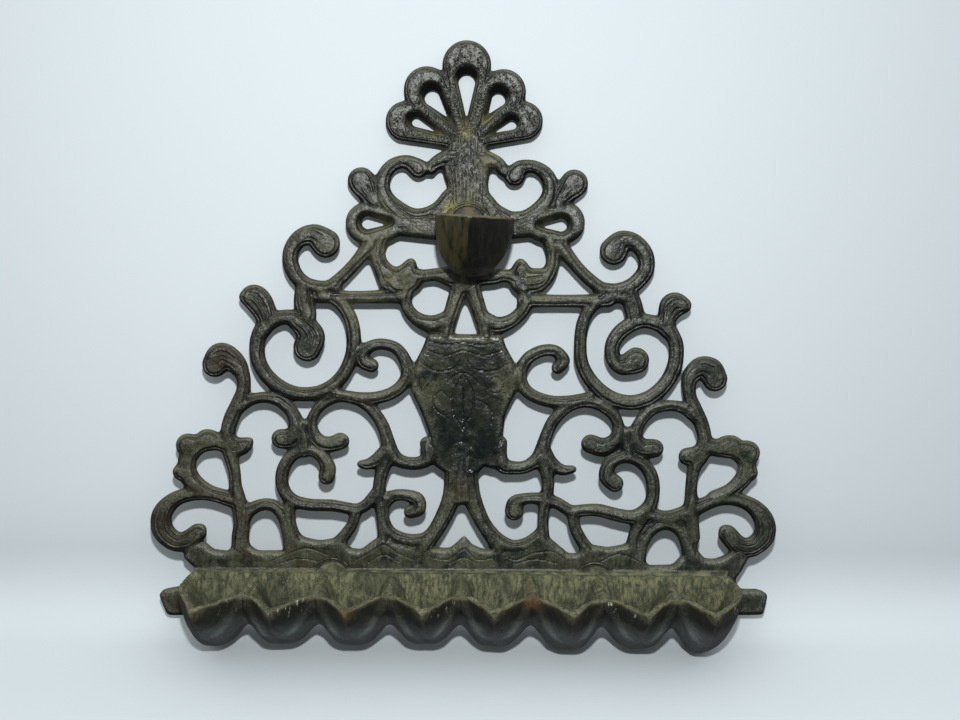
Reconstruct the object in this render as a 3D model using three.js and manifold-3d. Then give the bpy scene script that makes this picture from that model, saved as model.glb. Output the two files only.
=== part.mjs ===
// Wall-hung festival oil lamp: a cast openwork back plate of scrolls, a row of
// eight spouted oil pans on a bearer strip, and a servant pan above the shield.
// Millimetres. X runs along the row, Z is up, the front faces -Y and the wall is at y = 0.
import * as THREE from 'three';
import { mergeVertices } from 'three/addons/utils/BufferGeometryUtils.js';
import Module from 'manifold-3d';

const wasm = await Module();
wasm.setup();

// Back plate
const plateThickness = 4.5;
const railLeft = -98.2;            // outer end of the left lug
const railRight = 99.5;            // outer end of the right lug
const railBottom = -15;
const lugTop = -5.5;
const lugWear = 1.3;               // how far the lugs' corners are worn back
const lugRise = 0.4;               // and how much their tops rise toward the pans
const petalRecess = 2.2;           // how deep the petals and eyes are sunk before their holes
const outlineStep = 0.6;           // spacing of the samples that the outline is drawn through
const outlineMargin = 3;           // samples kept round each form
const outlineTolerance = 0.11;
const strokePoints = 7;            // points between two knots of a stroke

// Row of oil pans
const panCount = 8;
const panPitch = 22;
const panReach = 35;               // from the plate's front to a spout's tip
const panDepth = 20.7;             // rim to keel
const panWall = 1.7;
const panFloor = 2.4;
const panBack = 2;                 // wall between a well and the bearer strip
const spoutLip = 4.1;              // solid metal between a well's end and the spout's tip
const saddleReach = 23;            // from the plate's front to the rim between two spouts
const spoutLean = [-1.8, -1.2, -0.7, 0.1, -0.7, 0.6, 0.8, -1.4];   // sideways set of each spout
const keelDrop = [1.1, 0.1, 0.4, 0, 0.6, 1.1, 0.5, 1.7];           // how much deeper each pan was cast
const endHalfBack = 8.2;           // half width of an end pan's free side at the strip
const endHalfMax = 10.3;           // and where it swells most
const rimBack = 1.2;               // rim height at the strip
const rimSaddle = 0.2;             // rim height between two spouts
const rimTip = -0.7;               // rim height at a spout's tip
const tipHalf = 0.9;
const tipDepth = 2;
const wellTipHalf = 0.45;
const wellTipDepth = 0.9;
const bellySwell = 1.38;           // section's oval near the plate, in half pitches, cut flat at the pitch
const saddleSwell = 1.2;           // and at the saddle
const bellyReach = 10;             // the belly's oval runs this far before it shrinks to the saddle's
const rowFullness = 1.1;           // 1 is an oval section, more is a keel, less is a box
const spoutFullness = 1.25;
const bodyStations = [7, 12, 17];  // sections between the strip and the saddle

// Bearer strip and the tenons that hold the castings to the plate
const stripThickness = 2.2;
const stripBottom = -14;
const tenonRadius = 5.5;
const tenonFacets = 40;
const tenonClearance = 0.35;
const tenonSpread = 42.5;          // from the plate's centreline to each tenon
const tenonHeights = [-2, -3];     // left and right tenon centres
const tenonRecess = 0.3;           // tenon ends stop this far short of the wall face
const plateCentre = 0.7;           // the casting's own centreline

// Servant pan, rolled a little to one side about its tenon
const servantTenonX = 1.6;
const servantTenonZ = 111.9;
const servantOffset = 2.1;         // pan's middle to the right of its tenon
const servantRimAbove = 3.1;       // rim above the tenon's centre
const servantRoll = 3.2;           // degrees, right side down
const servantLean = -1.4;
const servantHalf = 11.9;
const servantHalfBack = 9.6;
const servantReach = 35;
const servantDepth = 19;
const servantBack = 3;
const servantFullness = 0.88;

const sectionSteps = 12;           // facets round a pan's section

// Strokes of the openwork, drawn as x, z, width along each bar's middle
const leftStrokes = [
  [-13.8, 129, 6, -17.5, 131, 4.2, -21.8, 130, 4, -24.5, 126.5, 4.5, -25, 121.5, 5.5, -22, 117, 6.5,
    -15, 112.7, 8, -6, 114, 9],
  [-11, 113.5, 7, -7, 116.3, 6, -4.4, 120.5, 4.6],
  [-27.5, 118.5, 5, -29.5, 121.5, 6.5, -31.5, 125, 8.6],
  [-30, 112, 13, -24, 112, 11],
  [-28.5, 106, 5, -33, 100.3, 4, -37, 96, 4, -41, 92.5, 4.2],
  [-28, 104, 4, -26, 98, 3.6, -24, 93, 4],
  [-24.5, 110, 5, -26, 104, 3.8, -25.3, 99.5, 4.2, -22.5, 95.8, 6.2, -18, 95.2, 6],
  [-20, 94, 8, -17.3, 97, 6, -16.2, 99.6, 3.6],
  [-17, 96, 5, -12.5, 95.8, 4, -8, 96.2, 4.2, -3.5, 95.6, 6.5],
  [-15, 94, 5, -17.6, 91, 4, -17.4, 86, 3.8, -14.2, 82.2, 4.4, -9.5, 80.6, 5.6, -5.5, 82, 5],
  [-45, 89.1, 4.2, -32, 89, 4, -18, 89.4, 4.6],
  [-42.8, 105.8, 9.2, -46.5, 108.4, 6.6, -51, 107, 5.5, -53.8, 102.5, 5, -53, 97, 5, -49.5, 93.2, 4.6,
    -44.5, 91.9, 4.4, -40, 92.3, 4.4],
  [-50, 91.5, 5, -49.8, 87.5, 6.4, -48.8, 83.5, 6],
  [-61.5, 80, 5, -62.3, 84.5, 7.5, -65, 88.5, 8.4, -68, 88.8, 4.4],
  [-62.3, 80.5, 5, -64.6, 75, 5, -64.4, 69, 4.8, -61.5, 63.5, 4.8, -56, 59.3, 4.8, -50, 58, 4.6,
    -43.5, 59.3, 4.6, -38.3, 63.5, 4.4, -35.2, 69.5, 4.4, -34.2, 76, 4.6, -35.5, 83, 4.4, -39.5, 88, 4,
    -45, 90.3, 4],
  [-63.5, 77.5, 5, -60.3, 81, 5, -55, 82.6, 4.8, -50.2, 80, 7.2, -47.7, 76.6, 8.8, -48.9, 73, 9],
  [-78.2, 67.4, 8.2, -76, 70, 8.8, -72.2, 68.3, 7, -69.6, 64.2, 4.8, -69.2, 60, 4.4, -71, 55, 4.8,
    -73.4, 50, 5, -74.6, 45, 4.8, -73, 41, 6, -70, 41.2, 5.6, -67.6, 42.8, 2.6],
  [-71, 53.5, 4, -66.5, 56.3, 3.6, -61.5, 56.9, 3.6, -57, 55.2, 4, -53.6, 51.5, 4.4, -52.8, 47, 5,
    -54.6, 43.8, 6, -57.6, 43.6, 6.4],
  [-38.6, 43, 5.6, -42, 41.9, 5, -46, 43.3, 4.4, -47.9, 48, 3.6, -46.5, 52.5, 3.4, -43, 55.7, 3.4,
    -38.5, 57.2, 3.4, -33, 56.2, 3.6, -28.5, 53, 3.8, -25.3, 48.2, 4, -23.6, 43, 4.4, -22.4, 39, 5,
    -19.8, 36.6, 4.4, -15.5, 35.8, 4.2, -11.8, 36.6, 4.4, -10.2, 39, 5.4, -11.2, 42.4, 4.6],
  [-28.6, 67.4, 4.6, -31.3, 68.6, 4.4, -31, 72, 4, -26.5, 74.2, 3.6, -21, 73, 3.8, -17.8, 68.5, 4,
    -17.6, 63.8, 4, -20.5, 59.7, 4, -25.5, 57.4, 4, -31.5, 56.8, 4, -38, 57.8, 3.6, -43, 59, 3.6],
  [-24.6, 40, 4, -27.4, 36.9, 4, -30, 35.5, 3.6, -32.4, 35.5, 2.6],
  [-23.5, 39, 5, -25.5, 33, 4.4, -26.5, 28, 4, -26.2, 22, 3.6, -25.4, 16, 3.6, -25, 11, 4, -25, 6, 5],
  [-16.5, 19.9, 4.4, -13.7, 20.9, 4.4, -14.2, 24.2, 4.4, -18.5, 25.5, 3.8, -22.3, 25, 4, -25, 21.8, 4,
    -25, 17, 4, -22.7, 12.8, 4.2, -17.6, 10.4, 4.6, -12, 10.6, 5, -8.8, 13, 5],
  [-1.8, 33, 7.4, -3.2, 25, 6, -6, 18, 5.4, -9.5, 12, 5, -13, 7, 5],
  [-43.3, 31.4, 5.4, -42.8, 34.5, 5, -45, 38.2, 4.2, -49.3, 40, 3.6, -54, 38.3, 4, -57.2, 33.5, 4.2,
    -57.4, 28, 4.2, -54.6, 23.7, 4.2, -49, 22.1, 4, -42, 21.9, 4, -37, 21.1, 3.8, -33.5, 20.7, 3.8,
    -30.5, 22.3, 3.8, -27.5, 26, 3.8],
  [-50.6, 48.5, 3, -50.6, 43, 6, -50.4, 40, 5],
  [-33.8, 20, 3.6, -35.3, 15.5, 3.6, -38.5, 11, 4, -42.5, 7, 4.5],
  [-55.5, 21, 4, -55.3, 15.5, 4.4, -53.6, 10, 5, -52, 6, 6],
  [-71.2, 6, 6.2, -71.2, 12.5, 5.6, -69.5, 18.5, 4.6, -65.5, 21.6, 4, -61, 21.9, 4, -57.6, 18.6, 4,
    -55.8, 13, 4.4, -54.8, 7, 5],
  [-71, 17, 5, -71.6, 23, 5, -72.5, 28, 4.2, -72.8, 33, 4, -74, 39, 5],
  [-75.5, 41.5, 5, -79.5, 42.8, 6, -84, 41.6, 6.4, -87.2, 38, 6, -88, 33.5, 6, -86.2, 29.3, 6,
    -81.5, 26.3, 4.6, -76, 24.3, 5],
  [-86.5, 41, 8, -87.3, 41.2, 8],
  [-80.6, 43, 7.2, -81.4, 43, 7.2],
  [-88.5, 32.6, 5.6, -89.8, 32.5, 5.6],
  [-74, 23.5, 5, -80, 25, 4, -86, 25.4, 4.4, -92, 23.6, 5, -96.2, 19, 6.4, -96.4, 13.5, 7,
    -92.7, 9.6, 6.4, -88.5, 10, 6.4, -84.9, 12.8, 5.8],
];

const rightStrokes = [
  [16, 127, 6.6, 18, 129.5, 4.6, 22.3, 129.6, 4, 26, 127, 4.6, 27.2, 122.5, 5, 25.3, 118, 5.4,
    20.5, 113.6, 6.4, 15, 111.8, 7.6, 8, 113, 8],
  [14, 112.6, 7, 9.6, 115.6, 6, 7.2, 119.5, 4.4],
  [29.5, 118.5, 5, 31.6, 121.5, 6.5, 34.4, 124.6, 8.8],
  [31.5, 112.6, 13, 25, 112, 11],
  [30.3, 105.5, 5, 35, 99.7, 4, 39, 95.6, 4, 43.5, 92, 4.2],
  [26.5, 109, 5, 28, 104, 4.4, 28, 99.5, 4.2, 26.2, 96, 5.2, 22.3, 94.4, 8, 18, 94.4, 6],
  [19, 93.5, 7, 18.3, 97, 6.5, 18.1, 99.8, 3.4],
  [18, 95, 5, 13.5, 96, 4, 9.5, 95.6, 5, 5, 95.6, 5.6],
  [17, 93.5, 4.4, 19.6, 90.5, 4, 19.7, 86.3, 4.2, 16, 82.2, 4.4, 11.3, 80.4, 5.2, 7.5, 82, 5],
  [46, 88.4, 4.2, 33, 88.2, 4, 19, 88.2, 4.2],
  [47.2, 104, 9, 49.6, 107.2, 6.2, 53.6, 106.6, 5.4, 57, 102.8, 5.2, 57.2, 97.8, 5.2, 53.5, 93.4, 5,
    48.5, 91.6, 4.6, 43.8, 91.9, 4.4],
  [52, 91.5, 5, 53.3, 87.5, 6, 54.5, 83, 6],
  [64.4, 79, 5, 64.6, 83.5, 6, 66.2, 87, 8.2, 69.5, 87, 5],
  [65.5, 79, 4.6, 67.4, 74.5, 4.8, 67.3, 69, 4.8, 65, 63, 4.8, 60, 58, 4.8, 53.5, 56, 4.8,
    46.7, 57.8, 4.6, 41.2, 62.5, 4.4, 38, 68, 4.2, 37.2, 74, 4, 37.8, 81, 4, 40.5, 86.3, 4, 45.5, 89.6, 4,
    51, 89.5, 4.4],
  [66, 77.5, 4.6, 62, 80.8, 4.6, 56.5, 82, 4.6, 51, 79.6, 5, 47.6, 75.2, 4.8, 47.5, 70.5, 4.8,
    50.2, 67.4, 5, 54.8, 69.4, 8.6],
  [80, 63.7, 8, 78.4, 66.6, 8, 75, 67.2, 6.8, 72, 63.6, 5, 72.2, 58.5, 4.2, 74, 54, 4.6, 76.2, 49, 4.8,
    77.4, 44, 4.6, 76, 39.5, 6, 72, 38.7, 5.8],
  [74, 51.5, 4, 70, 54.4, 3.6, 65.5, 55.1, 3.6, 60.5, 53.8, 3.8, 56.8, 50, 4, 55.3, 45.5, 4.4,
    56.8, 41.6, 6, 61.3, 41.2, 6.2],
  [41, 42.6, 6.2, 44.8, 41.5, 6, 48.4, 43.4, 4.8, 49.8, 47.5, 3.8, 48.5, 51.5, 3.8, 44.5, 54.8, 3.8,
    39, 56.1, 3.6, 33.5, 54.4, 3.8, 29.4, 50.5, 4, 27, 45.5, 4, 25.6, 41, 4.4, 24, 37.4, 4.6,
    20.5, 35, 4.2, 16.5, 34.6, 4.4, 13, 35.4, 5, 11.9, 39, 5, 12.6, 43, 3.8],
  [30.2, 67, 4.2, 32, 69.3, 4, 29.5, 72.3, 3.8, 25.2, 72.4, 3.8, 20.8, 70, 4, 18.5, 65.5, 4,
    19.3, 61, 4, 22.5, 58, 4, 28, 56.2, 4, 34, 56.2, 4, 40, 57.4, 3.8],
  [26.2, 41, 4, 28.6, 36.4, 4.2, 32, 34, 3.6, 35.6, 34.3, 2.6],
  [25.5, 38, 5, 27, 33.5, 4.4, 27.7, 29, 4, 26.8, 24, 4, 26.2, 18, 3.6, 26.3, 12, 4, 26, 7, 5],
  [16.9, 20.4, 6.2, 17.2, 23.3, 4.8, 21, 24.6, 3.8, 26, 24.4, 4, 30.5, 23.2, 4, 35, 20.4, 4],
  [8.5, 14, 5, 11.6, 10.8, 5, 16.5, 8.4, 4.8, 21.5, 9.6, 4.6, 25.4, 13, 4],
  [1.4, 33, 7.4, 3.2, 25, 6, 6.4, 17.4, 5, 9.8, 12, 5, 13, 7, 5],
  [49, 29.7, 5.8, 46.4, 32.2, 5.2, 47.2, 36, 4.4, 51, 38.2, 4, 56, 37.5, 4, 60, 33.6, 4.4, 61.4, 28, 4.4,
    60.3, 22.5, 4.4, 55.8, 18.8, 4.6, 50, 19.4, 4.4, 44, 20.9, 4.2, 39, 20.8, 4, 35.5, 20.3, 4],
  [52.6, 47, 2.6, 52.8, 42.5, 4, 53.5, 39, 5],
  [35.6, 20, 3.8, 36.6, 15, 3.8, 38.9, 10.5, 4, 42, 6, 4.5],
  [58.5, 18.5, 6, 56, 13, 4.4, 55.2, 8, 5, 55, 4, 6],
  [57, 3, 5, 58, 9.5, 4.4, 61, 14.4, 4.2, 65.5, 16.5, 4, 70, 15, 4.4, 72.9, 10.5, 5, 74.2, 5, 5.6,
    74.5, 2, 6],
  [60.5, 19.5, 4.5, 66.5, 18.4, 5, 72.5, 20, 5.4],
  [74.3, 12, 5.4, 73.4, 17, 6, 73.6, 24, 4.4, 73.6, 30, 3.8, 74.3, 35, 4.4, 76, 39, 6],
  [78, 42, 5, 82.5, 41.4, 6, 87.5, 40.6, 6, 91, 37, 6, 90.4, 32, 5.6, 86.3, 27.7, 4.6, 81, 25.4, 4.4],
  [90.6, 40.2, 7.8, 91.3, 40, 7.8],
  [84.6, 42, 7.4, 86, 42, 7.4],
  [91, 33.2, 6, 92, 33.4, 5.6],
  [75, 21.5, 5, 81, 24.2, 4.4, 87, 24.8, 4.2, 93, 22.8, 5, 97, 18.4, 6.4, 97.7, 13, 7, 94, 9, 6.4,
    89.5, 9.4, 6.4, 85.6, 13.4, 6],
];

const centreStrokes = [
  [1.4, 110, 18, 1.4, 117, 15, 1.5, 124, 12.6, 1, 130, 14.6, 1, 135, 12],
  [0, 134, 4.6, -5, 132.4, 4.8, -8.8, 130.4, 4, -9.8, 128.4, 3],
  [2, 134, 4.6, 7, 132, 5.2, 11, 130.4, 4.2, 12.4, 128.2, 3.2],
  [1, 138, 5, 1, 160.2, 15],
  [0, 138, 5, -11.2, 152.8, 14.2],
  [2, 138, 5, 12.3, 152.3, 13.8],
  [-1, 137.5, 5, -17.8, 143.3, 12.2],
  [3, 137.5, 5, 18.6, 143.6, 11.8],
  [-23, 112.4, 8, 1, 111, 9, 25, 112.4, 8],
  [1.2, 108, 9, 1.2, 95, 9],
  [0.2, 95, 6, -2.4, 88, 5, -4.6, 80, 4.6, -5.6, 76, 4.6],
  [1.8, 95, 6, 4.3, 88, 5, 6.9, 80, 4.6, 8, 76, 4.6],
  [-0.4, 38, 11, -0.5, 33, 10, -0.5, 27, 9.4],
];

// Teardrop holes of the palmette and the two eyes, narrow end first, and the recess round each
const teardropHoles = [
  [1, 145.4, 0.6, 1, 155.1, 5.2],
  [-5.2, 145.2, 0.6, -9.5, 150.4, 4.9],
  [8.1, 146.3, 0.6, 10.7, 150, 4.4],
  [-9.3, 140.9, 0.9, -14.4, 143.2, 3],
  [10.4, 140.7, 0.9, 15, 142.5, 3],
  [-25.5, 112.1, 1.8, -29.6, 112.2, 4],
  [26.3, 111.7, 1.8, 30.6, 111.8, 4],
];
const teardropRecesses = [
  [1, 141, 1, 0.9, 156.4, 7.8],
  [-1.6, 140.2, 1, -9.8, 151.2, 7.8],
  [4, 139.4, 1, 10.8, 151, 7.2],
  [-4, 138.2, 1, -15.2, 143.5, 5.6],
  [5, 137.8, 1, 14.8, 143.2, 5.2],
  [-22.5, 112.4, 3, -29.6, 112.1, 7],
  [23.5, 111.8, 3, 30.4, 112, 7],
];

// Vase-shaped shield, and the base rail with its leafy peaks and end lugs, as closed outlines
const shieldOutline = [
  -11, 77.6, 12.6, 77.6, 13.6, 74, 16, 69.6, 18, 64, 17.4, 59.6, 14.6, 54, 13.6, 51.6, 13.4, 48, 12.6, 44,
  12.4, 34.6, 9.6, 34.2, 7.2, 35.2, 5.4, 33, -5.4, 33, -8.6, 35, -9.4, 40, -10.6, 46, -13.4, 53.6, -16, 59,
  -16.6, 63, -14.6, 69, -12.2, 74,
];
const railOutline = [
  railRight - lugWear, railBottom + lugWear, railRight, lugTop - lugWear, railRight - 2 * lugWear, lugTop + lugRise,
  90.6, lugTop + lugRise,
  88.6, -2, 90.6, 1, 92.6, 5, 91, 8, 87.5, 8, 85, 6, 82, 4.9, 78.6, 5.2, 76, 8, 71, 6, 68.5, 2.9,
  60.6, 2.7, 58.6, 5, 55.5, 10, 52.6, 9.6, 47.4, 8.6, 43, 9.4, 39.6, 8.6, 37, 6.4, 34.6, 6.6, 31, 9.6,
  27.6, 12.6, 24, 12.4, 20, 8, 10, 7.6, 7.2, 7.7, 3.4, 9.4, 0.9, 12.6, -1.6, 10, -4, 8, -7.6, 8.2,
  -13, 8, -21, 9.4, -25, 12.6, -28.4, 10.6, -32.4, 7.5, -35.6, 7.7, -38, 10.6, -42, 11, -46, 10.3,
  -50.4, 11.2, -54, 13.4, -57, 6.9, -66.2, 6.8, -69, 9, -74, 8, -75.6, 6.6, -80.4, 7.1, -82.4, 9.2,
  -88, 9, -90, 4.6, -85.4, 0, -90.4, lugTop + lugRise, -96.4, lugTop - lugWear / 2, railLeft, lugTop - 2 * lugWear,
  railLeft + 2 * lugWear, railBottom,
];

const castBrass = new THREE.MeshStandardMaterial({ color: 0x4b4a3c, roughness: 0.62, metalness: 0.75 });
const panBrass = new THREE.MeshStandardMaterial({ color: 0x5b5a46, roughness: 0.7, metalness: 0.6 });
const stripBrass = new THREE.MeshStandardMaterial({ color: 0x77745a, roughness: 0.72, metalness: 0.55 });
const servantBrass = new THREE.MeshStandardMaterial({ color: 0x3f3f35, roughness: 0.45, metalness: 0.8 });

// A smooth curve through x, z, width triples, sampled as short steps
function strokeSamples(stroke) {
  const knots = [];
  for (let i = 0; i < stroke.length; i += 3) {
    knots.push(new THREE.Vector3(stroke[i], stroke[i + 1], stroke[i + 2]));
  }
  if (knots.length === 2) {
    return knots;
  }
  const curve = new THREE.CatmullRomCurve3(knots, false, 'catmullrom', 0.5);
  return curve.getPoints((knots.length - 1) * strokePoints);
}

// Distance inside (positive) or outside (negative) a tapering bar with round ends
function barDistance(x, z, a, b) {
  const dx = b.x - a.x;
  const dz = b.y - a.y;
  const t = THREE.MathUtils.clamp(((x - a.x) * dx + (z - a.y) * dz) / (dx * dx + dz * dz), 0, 1);
  const half = THREE.MathUtils.lerp(a.z, b.z, t) / 2;
  return half - Math.hypot(x - a.x - t * dx, z - a.y - t * dz);
}

// Distance inside (positive) or outside (negative) a closed outline of x, z pairs
function outlineDistance(x, z, outline) {
  let nearest = Infinity;
  let inside = false;
  for (let i = 0, j = outline.length - 2; i < outline.length; j = i, i += 2) {
    const ax = outline[j];
    const az = outline[j + 1];
    const bx = outline[i];
    const bz = outline[i + 1];
    const t = THREE.MathUtils.clamp(
      ((x - ax) * (bx - ax) + (z - az) * (bz - az)) / ((bx - ax) ** 2 + (bz - az) ** 2), 0, 1);
    nearest = Math.min(nearest, Math.hypot(x - ax - t * (bx - ax), z - az - t * (bz - az)));
    if ((az > z) !== (bz > z) && x < (bx - ax) * (z - az) / (bz - az) + ax) {
      inside = !inside;
    }
  }
  return inside ? nearest : -nearest;
}

// The box round strokes and outlines, with each stroke's width taken in
function boundsOf(strokes, outlines) {
  const box = new THREE.Box2();
  for (const knot of strokes.flatMap((stroke) => strokeSamples(stroke))) {
    box.union(new THREE.Box2().setFromPoints([knot]).expandByScalar(knot.z / 2));
  }
  for (const outline of outlines) {
    for (let i = 0; i < outline.length; i += 2) {
      box.expandByPoint(new THREE.Vector2(outline[i], outline[i + 1]));
    }
  }
  return box;
}

// A square grid of distances over a box; add and cut change it only near the form that they are given
class DistanceGrid {
  constructor(box, step) {
    this.xLow = box.min.x - (outlineMargin + 1) * step;
    this.zLow = box.min.y - (outlineMargin + 1) * step;
    this.step = step;
    this.columns = Math.ceil((box.max.x - this.xLow) / step) + outlineMargin + 2;
    this.rows = Math.ceil((box.max.y - this.zLow) / step) + outlineMargin + 2;
    this.values = new Float64Array(this.columns * this.rows).fill(-outlineMargin * step);
  }

  visit(box, combine) {
    const c0 = Math.max(0, Math.floor((box.min.x - this.xLow) / this.step) - outlineMargin);
    const c1 = Math.min(this.columns - 1, Math.ceil((box.max.x - this.xLow) / this.step) + outlineMargin);
    const r0 = Math.max(0, Math.floor((box.min.y - this.zLow) / this.step) - outlineMargin);
    const r1 = Math.min(this.rows - 1, Math.ceil((box.max.y - this.zLow) / this.step) + outlineMargin);
    for (let r = r0; r <= r1; r += 1) {
      for (let c = c0; c <= c1; c += 1) {
        const k = r * this.columns + c;
        this.values[k] = combine(this.values[k], this.xLow + c * this.step, this.zLow + r * this.step);
      }
    }
  }

  bars(samples, combine) {
    for (let i = 1; i < samples.length; i += 1) {
      const a = samples[i - 1];
      const b = samples[i];
      const reach = Math.max(a.z, b.z) / 2;
      const box = new THREE.Box2().setFromPoints([a, b]).expandByScalar(reach);
      this.visit(box, (value, x, z) => combine(value, barDistance(x, z, a, b)));
    }
  }

  addStroke(stroke) {
    this.bars(strokeSamples(stroke), Math.max);
  }

  cutStroke(stroke) {
    this.bars(strokeSamples(stroke), (value, distance) => Math.min(value, -distance));
  }

  addOutline(outline) {
    this.visit(boundsOf([], [outline]), (value, x, z) => Math.max(value, outlineDistance(x, z, outline)));
  }

  // Closed loops where the distance passes through zero, material on the left of each
  loops() {
    const next = new Map();
    const point = new Map();
    const value = (c, r) => this.values[r * this.columns + c];
    const crossing = (c, r, vertical) => {
      const key = (r * this.columns + c) * 2 + (vertical ? 1 : 0);
      if (!point.has(key)) {
        const v0 = value(c, r);
        const v1 = vertical ? value(c, r + 1) : value(c + 1, r);
        const t = THREE.MathUtils.clamp(v0 / (v0 - v1), 0.02, 0.98);
        point.set(key, new THREE.Vector2(
          this.xLow + (c + (vertical ? 0 : t)) * this.step,
          this.zLow + (r + (vertical ? t : 0)) * this.step));
      }
      return key;
    };
    for (let r = 0; r < this.rows - 1; r += 1) {
      for (let c = 0; c < this.columns - 1; c += 1) {
        const corner = [value(c, r), value(c + 1, r), value(c + 1, r + 1), value(c, r + 1)].map((v) => v > 0);
        const edge = [
          () => crossing(c, r, false), () => crossing(c + 1, r, true),
          () => crossing(c, r + 1, false), () => crossing(c, r, true),
        ];
        const enter = [];
        const leave = [];
        for (let e = 0; e < 4; e += 1) {
          if (corner[e] && !corner[(e + 1) % 4]) {
            leave.push(e);
          } else if (!corner[e] && corner[(e + 1) % 4]) {
            enter.push(e);
          }
        }
        const joined = enter.length === 2
          && value(c, r) + value(c + 1, r) + value(c + 1, r + 1) + value(c, r + 1) > 0;
        leave.forEach((from, i) => {
          const to = enter.length === 2 ? enter.find((e) => (joined ? (from + 1) % 4 : (from + 3) % 4) === e)
            : enter[i];
          next.set(edge[from](), edge[to]());
        });
      }
    }
    const found = [];
    while (next.size > 0) {
      const start = next.keys().next().value;
      const loop = [];
      let key = start;
      do {
        loop.push(point.get(key));
        const following = next.get(key);
        next.delete(key);
        key = following;
      } while (key !== start);
      found.push(loop);
    }
    return found;
  }
}

// Leaves out points that lie within the tolerance of the line between the ones that stay
function simplified(loop, tolerance) {
  const keep = new Array(loop.length).fill(false);
  const far = loop.reduce(
    (best, p, i) => (p.distanceTo(loop[0]) > loop[best].distanceTo(loop[0]) ? i : best), 0);
  const line = new THREE.Line3();
  const foot = new THREE.Vector3();
  const split = (first, last) => {
    let worst = tolerance;
    let index = -1;
    const a = loop[first];
    const b = loop[last % loop.length];
    line.set(new THREE.Vector3(a.x, a.y, 0), new THREE.Vector3(b.x, b.y, 0));
    for (let i = first + 1; i < last; i += 1) {
      const p = new THREE.Vector3(loop[i].x, loop[i].y, 0);
      line.closestPointToPoint(p, true, foot);
      if (p.distanceTo(foot) > worst) {
        worst = p.distanceTo(foot);
        index = i;
      }
    }
    if (index >= 0) {
      keep[index] = true;
      split(first, index);
      split(index, last);
    }
  };
  keep[0] = true;
  keep[far] = true;
  split(0, far);
  split(far, loop.length);
  return loop.filter((p, i) => keep[i]);
}

function shapesFrom(loops) {
  const outer = loops.filter((loop) => THREE.ShapeUtils.area(loop) > 1);
  const inner = loops.filter((loop) => THREE.ShapeUtils.area(loop) < -1);
  return outer.map((loop) => {
    const shape = new THREE.Shape(loop);
    shape.holes = inner.map((hole) => new THREE.Path(hole));
    return shape;
  });
}

// A slab whose outline lies in XZ, running forward from y = -back by its thickness
function slab(shapes, back, thickness) {
  const geometry = new THREE.ExtrudeGeometry(shapes, { depth: thickness, bevelEnabled: false });
  geometry.rotateX(Math.PI / 2);
  geometry.translate(0, -back, 0);
  return geometry;
}

function solidOf(geometry) {
  const bare = geometry.clone();
  bare.deleteAttribute('normal');
  bare.deleteAttribute('uv');
  const merged = mergeVertices(bare, 1e-4);
  const vertProperties = new Float32Array(merged.attributes.position.array);
  const triVerts = new Uint32Array(merged.index.array);
  return new wasm.Manifold(new wasm.Mesh({ numProp: 3, vertProperties, triVerts }));
}

function geometryOf(solid) {
  const mesh = solid.getMesh();
  const geometry = new THREE.BufferGeometry();
  geometry.setAttribute('position', new THREE.BufferAttribute(new Float32Array(mesh.vertProperties), 3));
  geometry.setIndex(new THREE.BufferAttribute(new Uint32Array(mesh.triVerts), 1));
  return geometry;
}

// A disc standing on its edge, its axis along Y, from yBack forward to yFront
function tenon(x, z, radius, yBack, yFront) {
  const geometry = new THREE.CylinderGeometry(radius, radius, yBack - yFront, tenonFacets);
  geometry.translate(x, (yBack + yFront) / 2, z);
  return geometry;
}

// A closed tube of rings, each a list of points in the same order, with flat ends
function loft(rings) {
  const size = rings[0].length;
  const positions = rings.flat().flatMap((p) => [p.x, p.y, p.z]);
  const index = [];
  for (let i = 0; i + 1 < rings.length; i += 1) {
    for (let j = 0; j < size; j += 1) {
      const a = i * size + j;
      const b = i * size + (j + 1) % size;
      index.push(a, b + size, b, a, a + size, b + size);
    }
  }
  const last = (rings.length - 1) * size;
  for (let j = 1; j + 1 < size; j += 1) {
    index.push(0, j, j + 1, last, last + j + 1, last + j);
  }
  const geometry = new THREE.BufferGeometry();
  geometry.setAttribute('position', new THREE.BufferAttribute(new Float32Array(positions), 3));
  geometry.setIndex(index);
  return mergeVertices(geometry, 1e-4);
}

// Reads a smooth value from rows of distance and value
function profile(rows, distance) {
  const last = rows.length - 1;
  const i = Math.max(0, Math.min(last - 1, rows.findIndex((row) => row[0] > distance) - 1));
  const row = distance >= rows[last][0] ? last - 1 : i;
  const [x0, y0] = rows[row];
  const [x1, y1] = rows[row + 1];
  return THREE.MathUtils.lerp(y0, y1, THREE.MathUtils.clamp((distance - x0) / (x1 - x0), 0, 1));
}

// Half widths of a spout from the saddle to its tip, as shares of the way and of half a pitch
const spoutCurve = [[0, 1], [0.03, 0.84], [0.12, 0.7], [0.29, 0.54], [0.48, 0.4], [0.68, 0.26], [0.86, 0.14],
  [1, 0.06]];
// Half widths of a free side and keel depths, as shares of the reach and of the largest
const freeSwell = [[0, 0], [0.12, 0.58], [0.26, 0.92], [0.4, 1]];
const freeSpout = [[0.4, 1], [0.52, 0.93], [0.64, 0.76], [0.76, 0.53], [0.88, 0.26], [1, 0.05]];
const keelCurve = [[0, 1], [0.2, 1], [0.35, 0.95], [0.5, 0.83],
  [0.64, 0.67], [0.78, 0.46], [0.89, 0.27], [1, 0.1]];
const spoutStart = 0.4;
const spoutEnd = 0.85;

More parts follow.
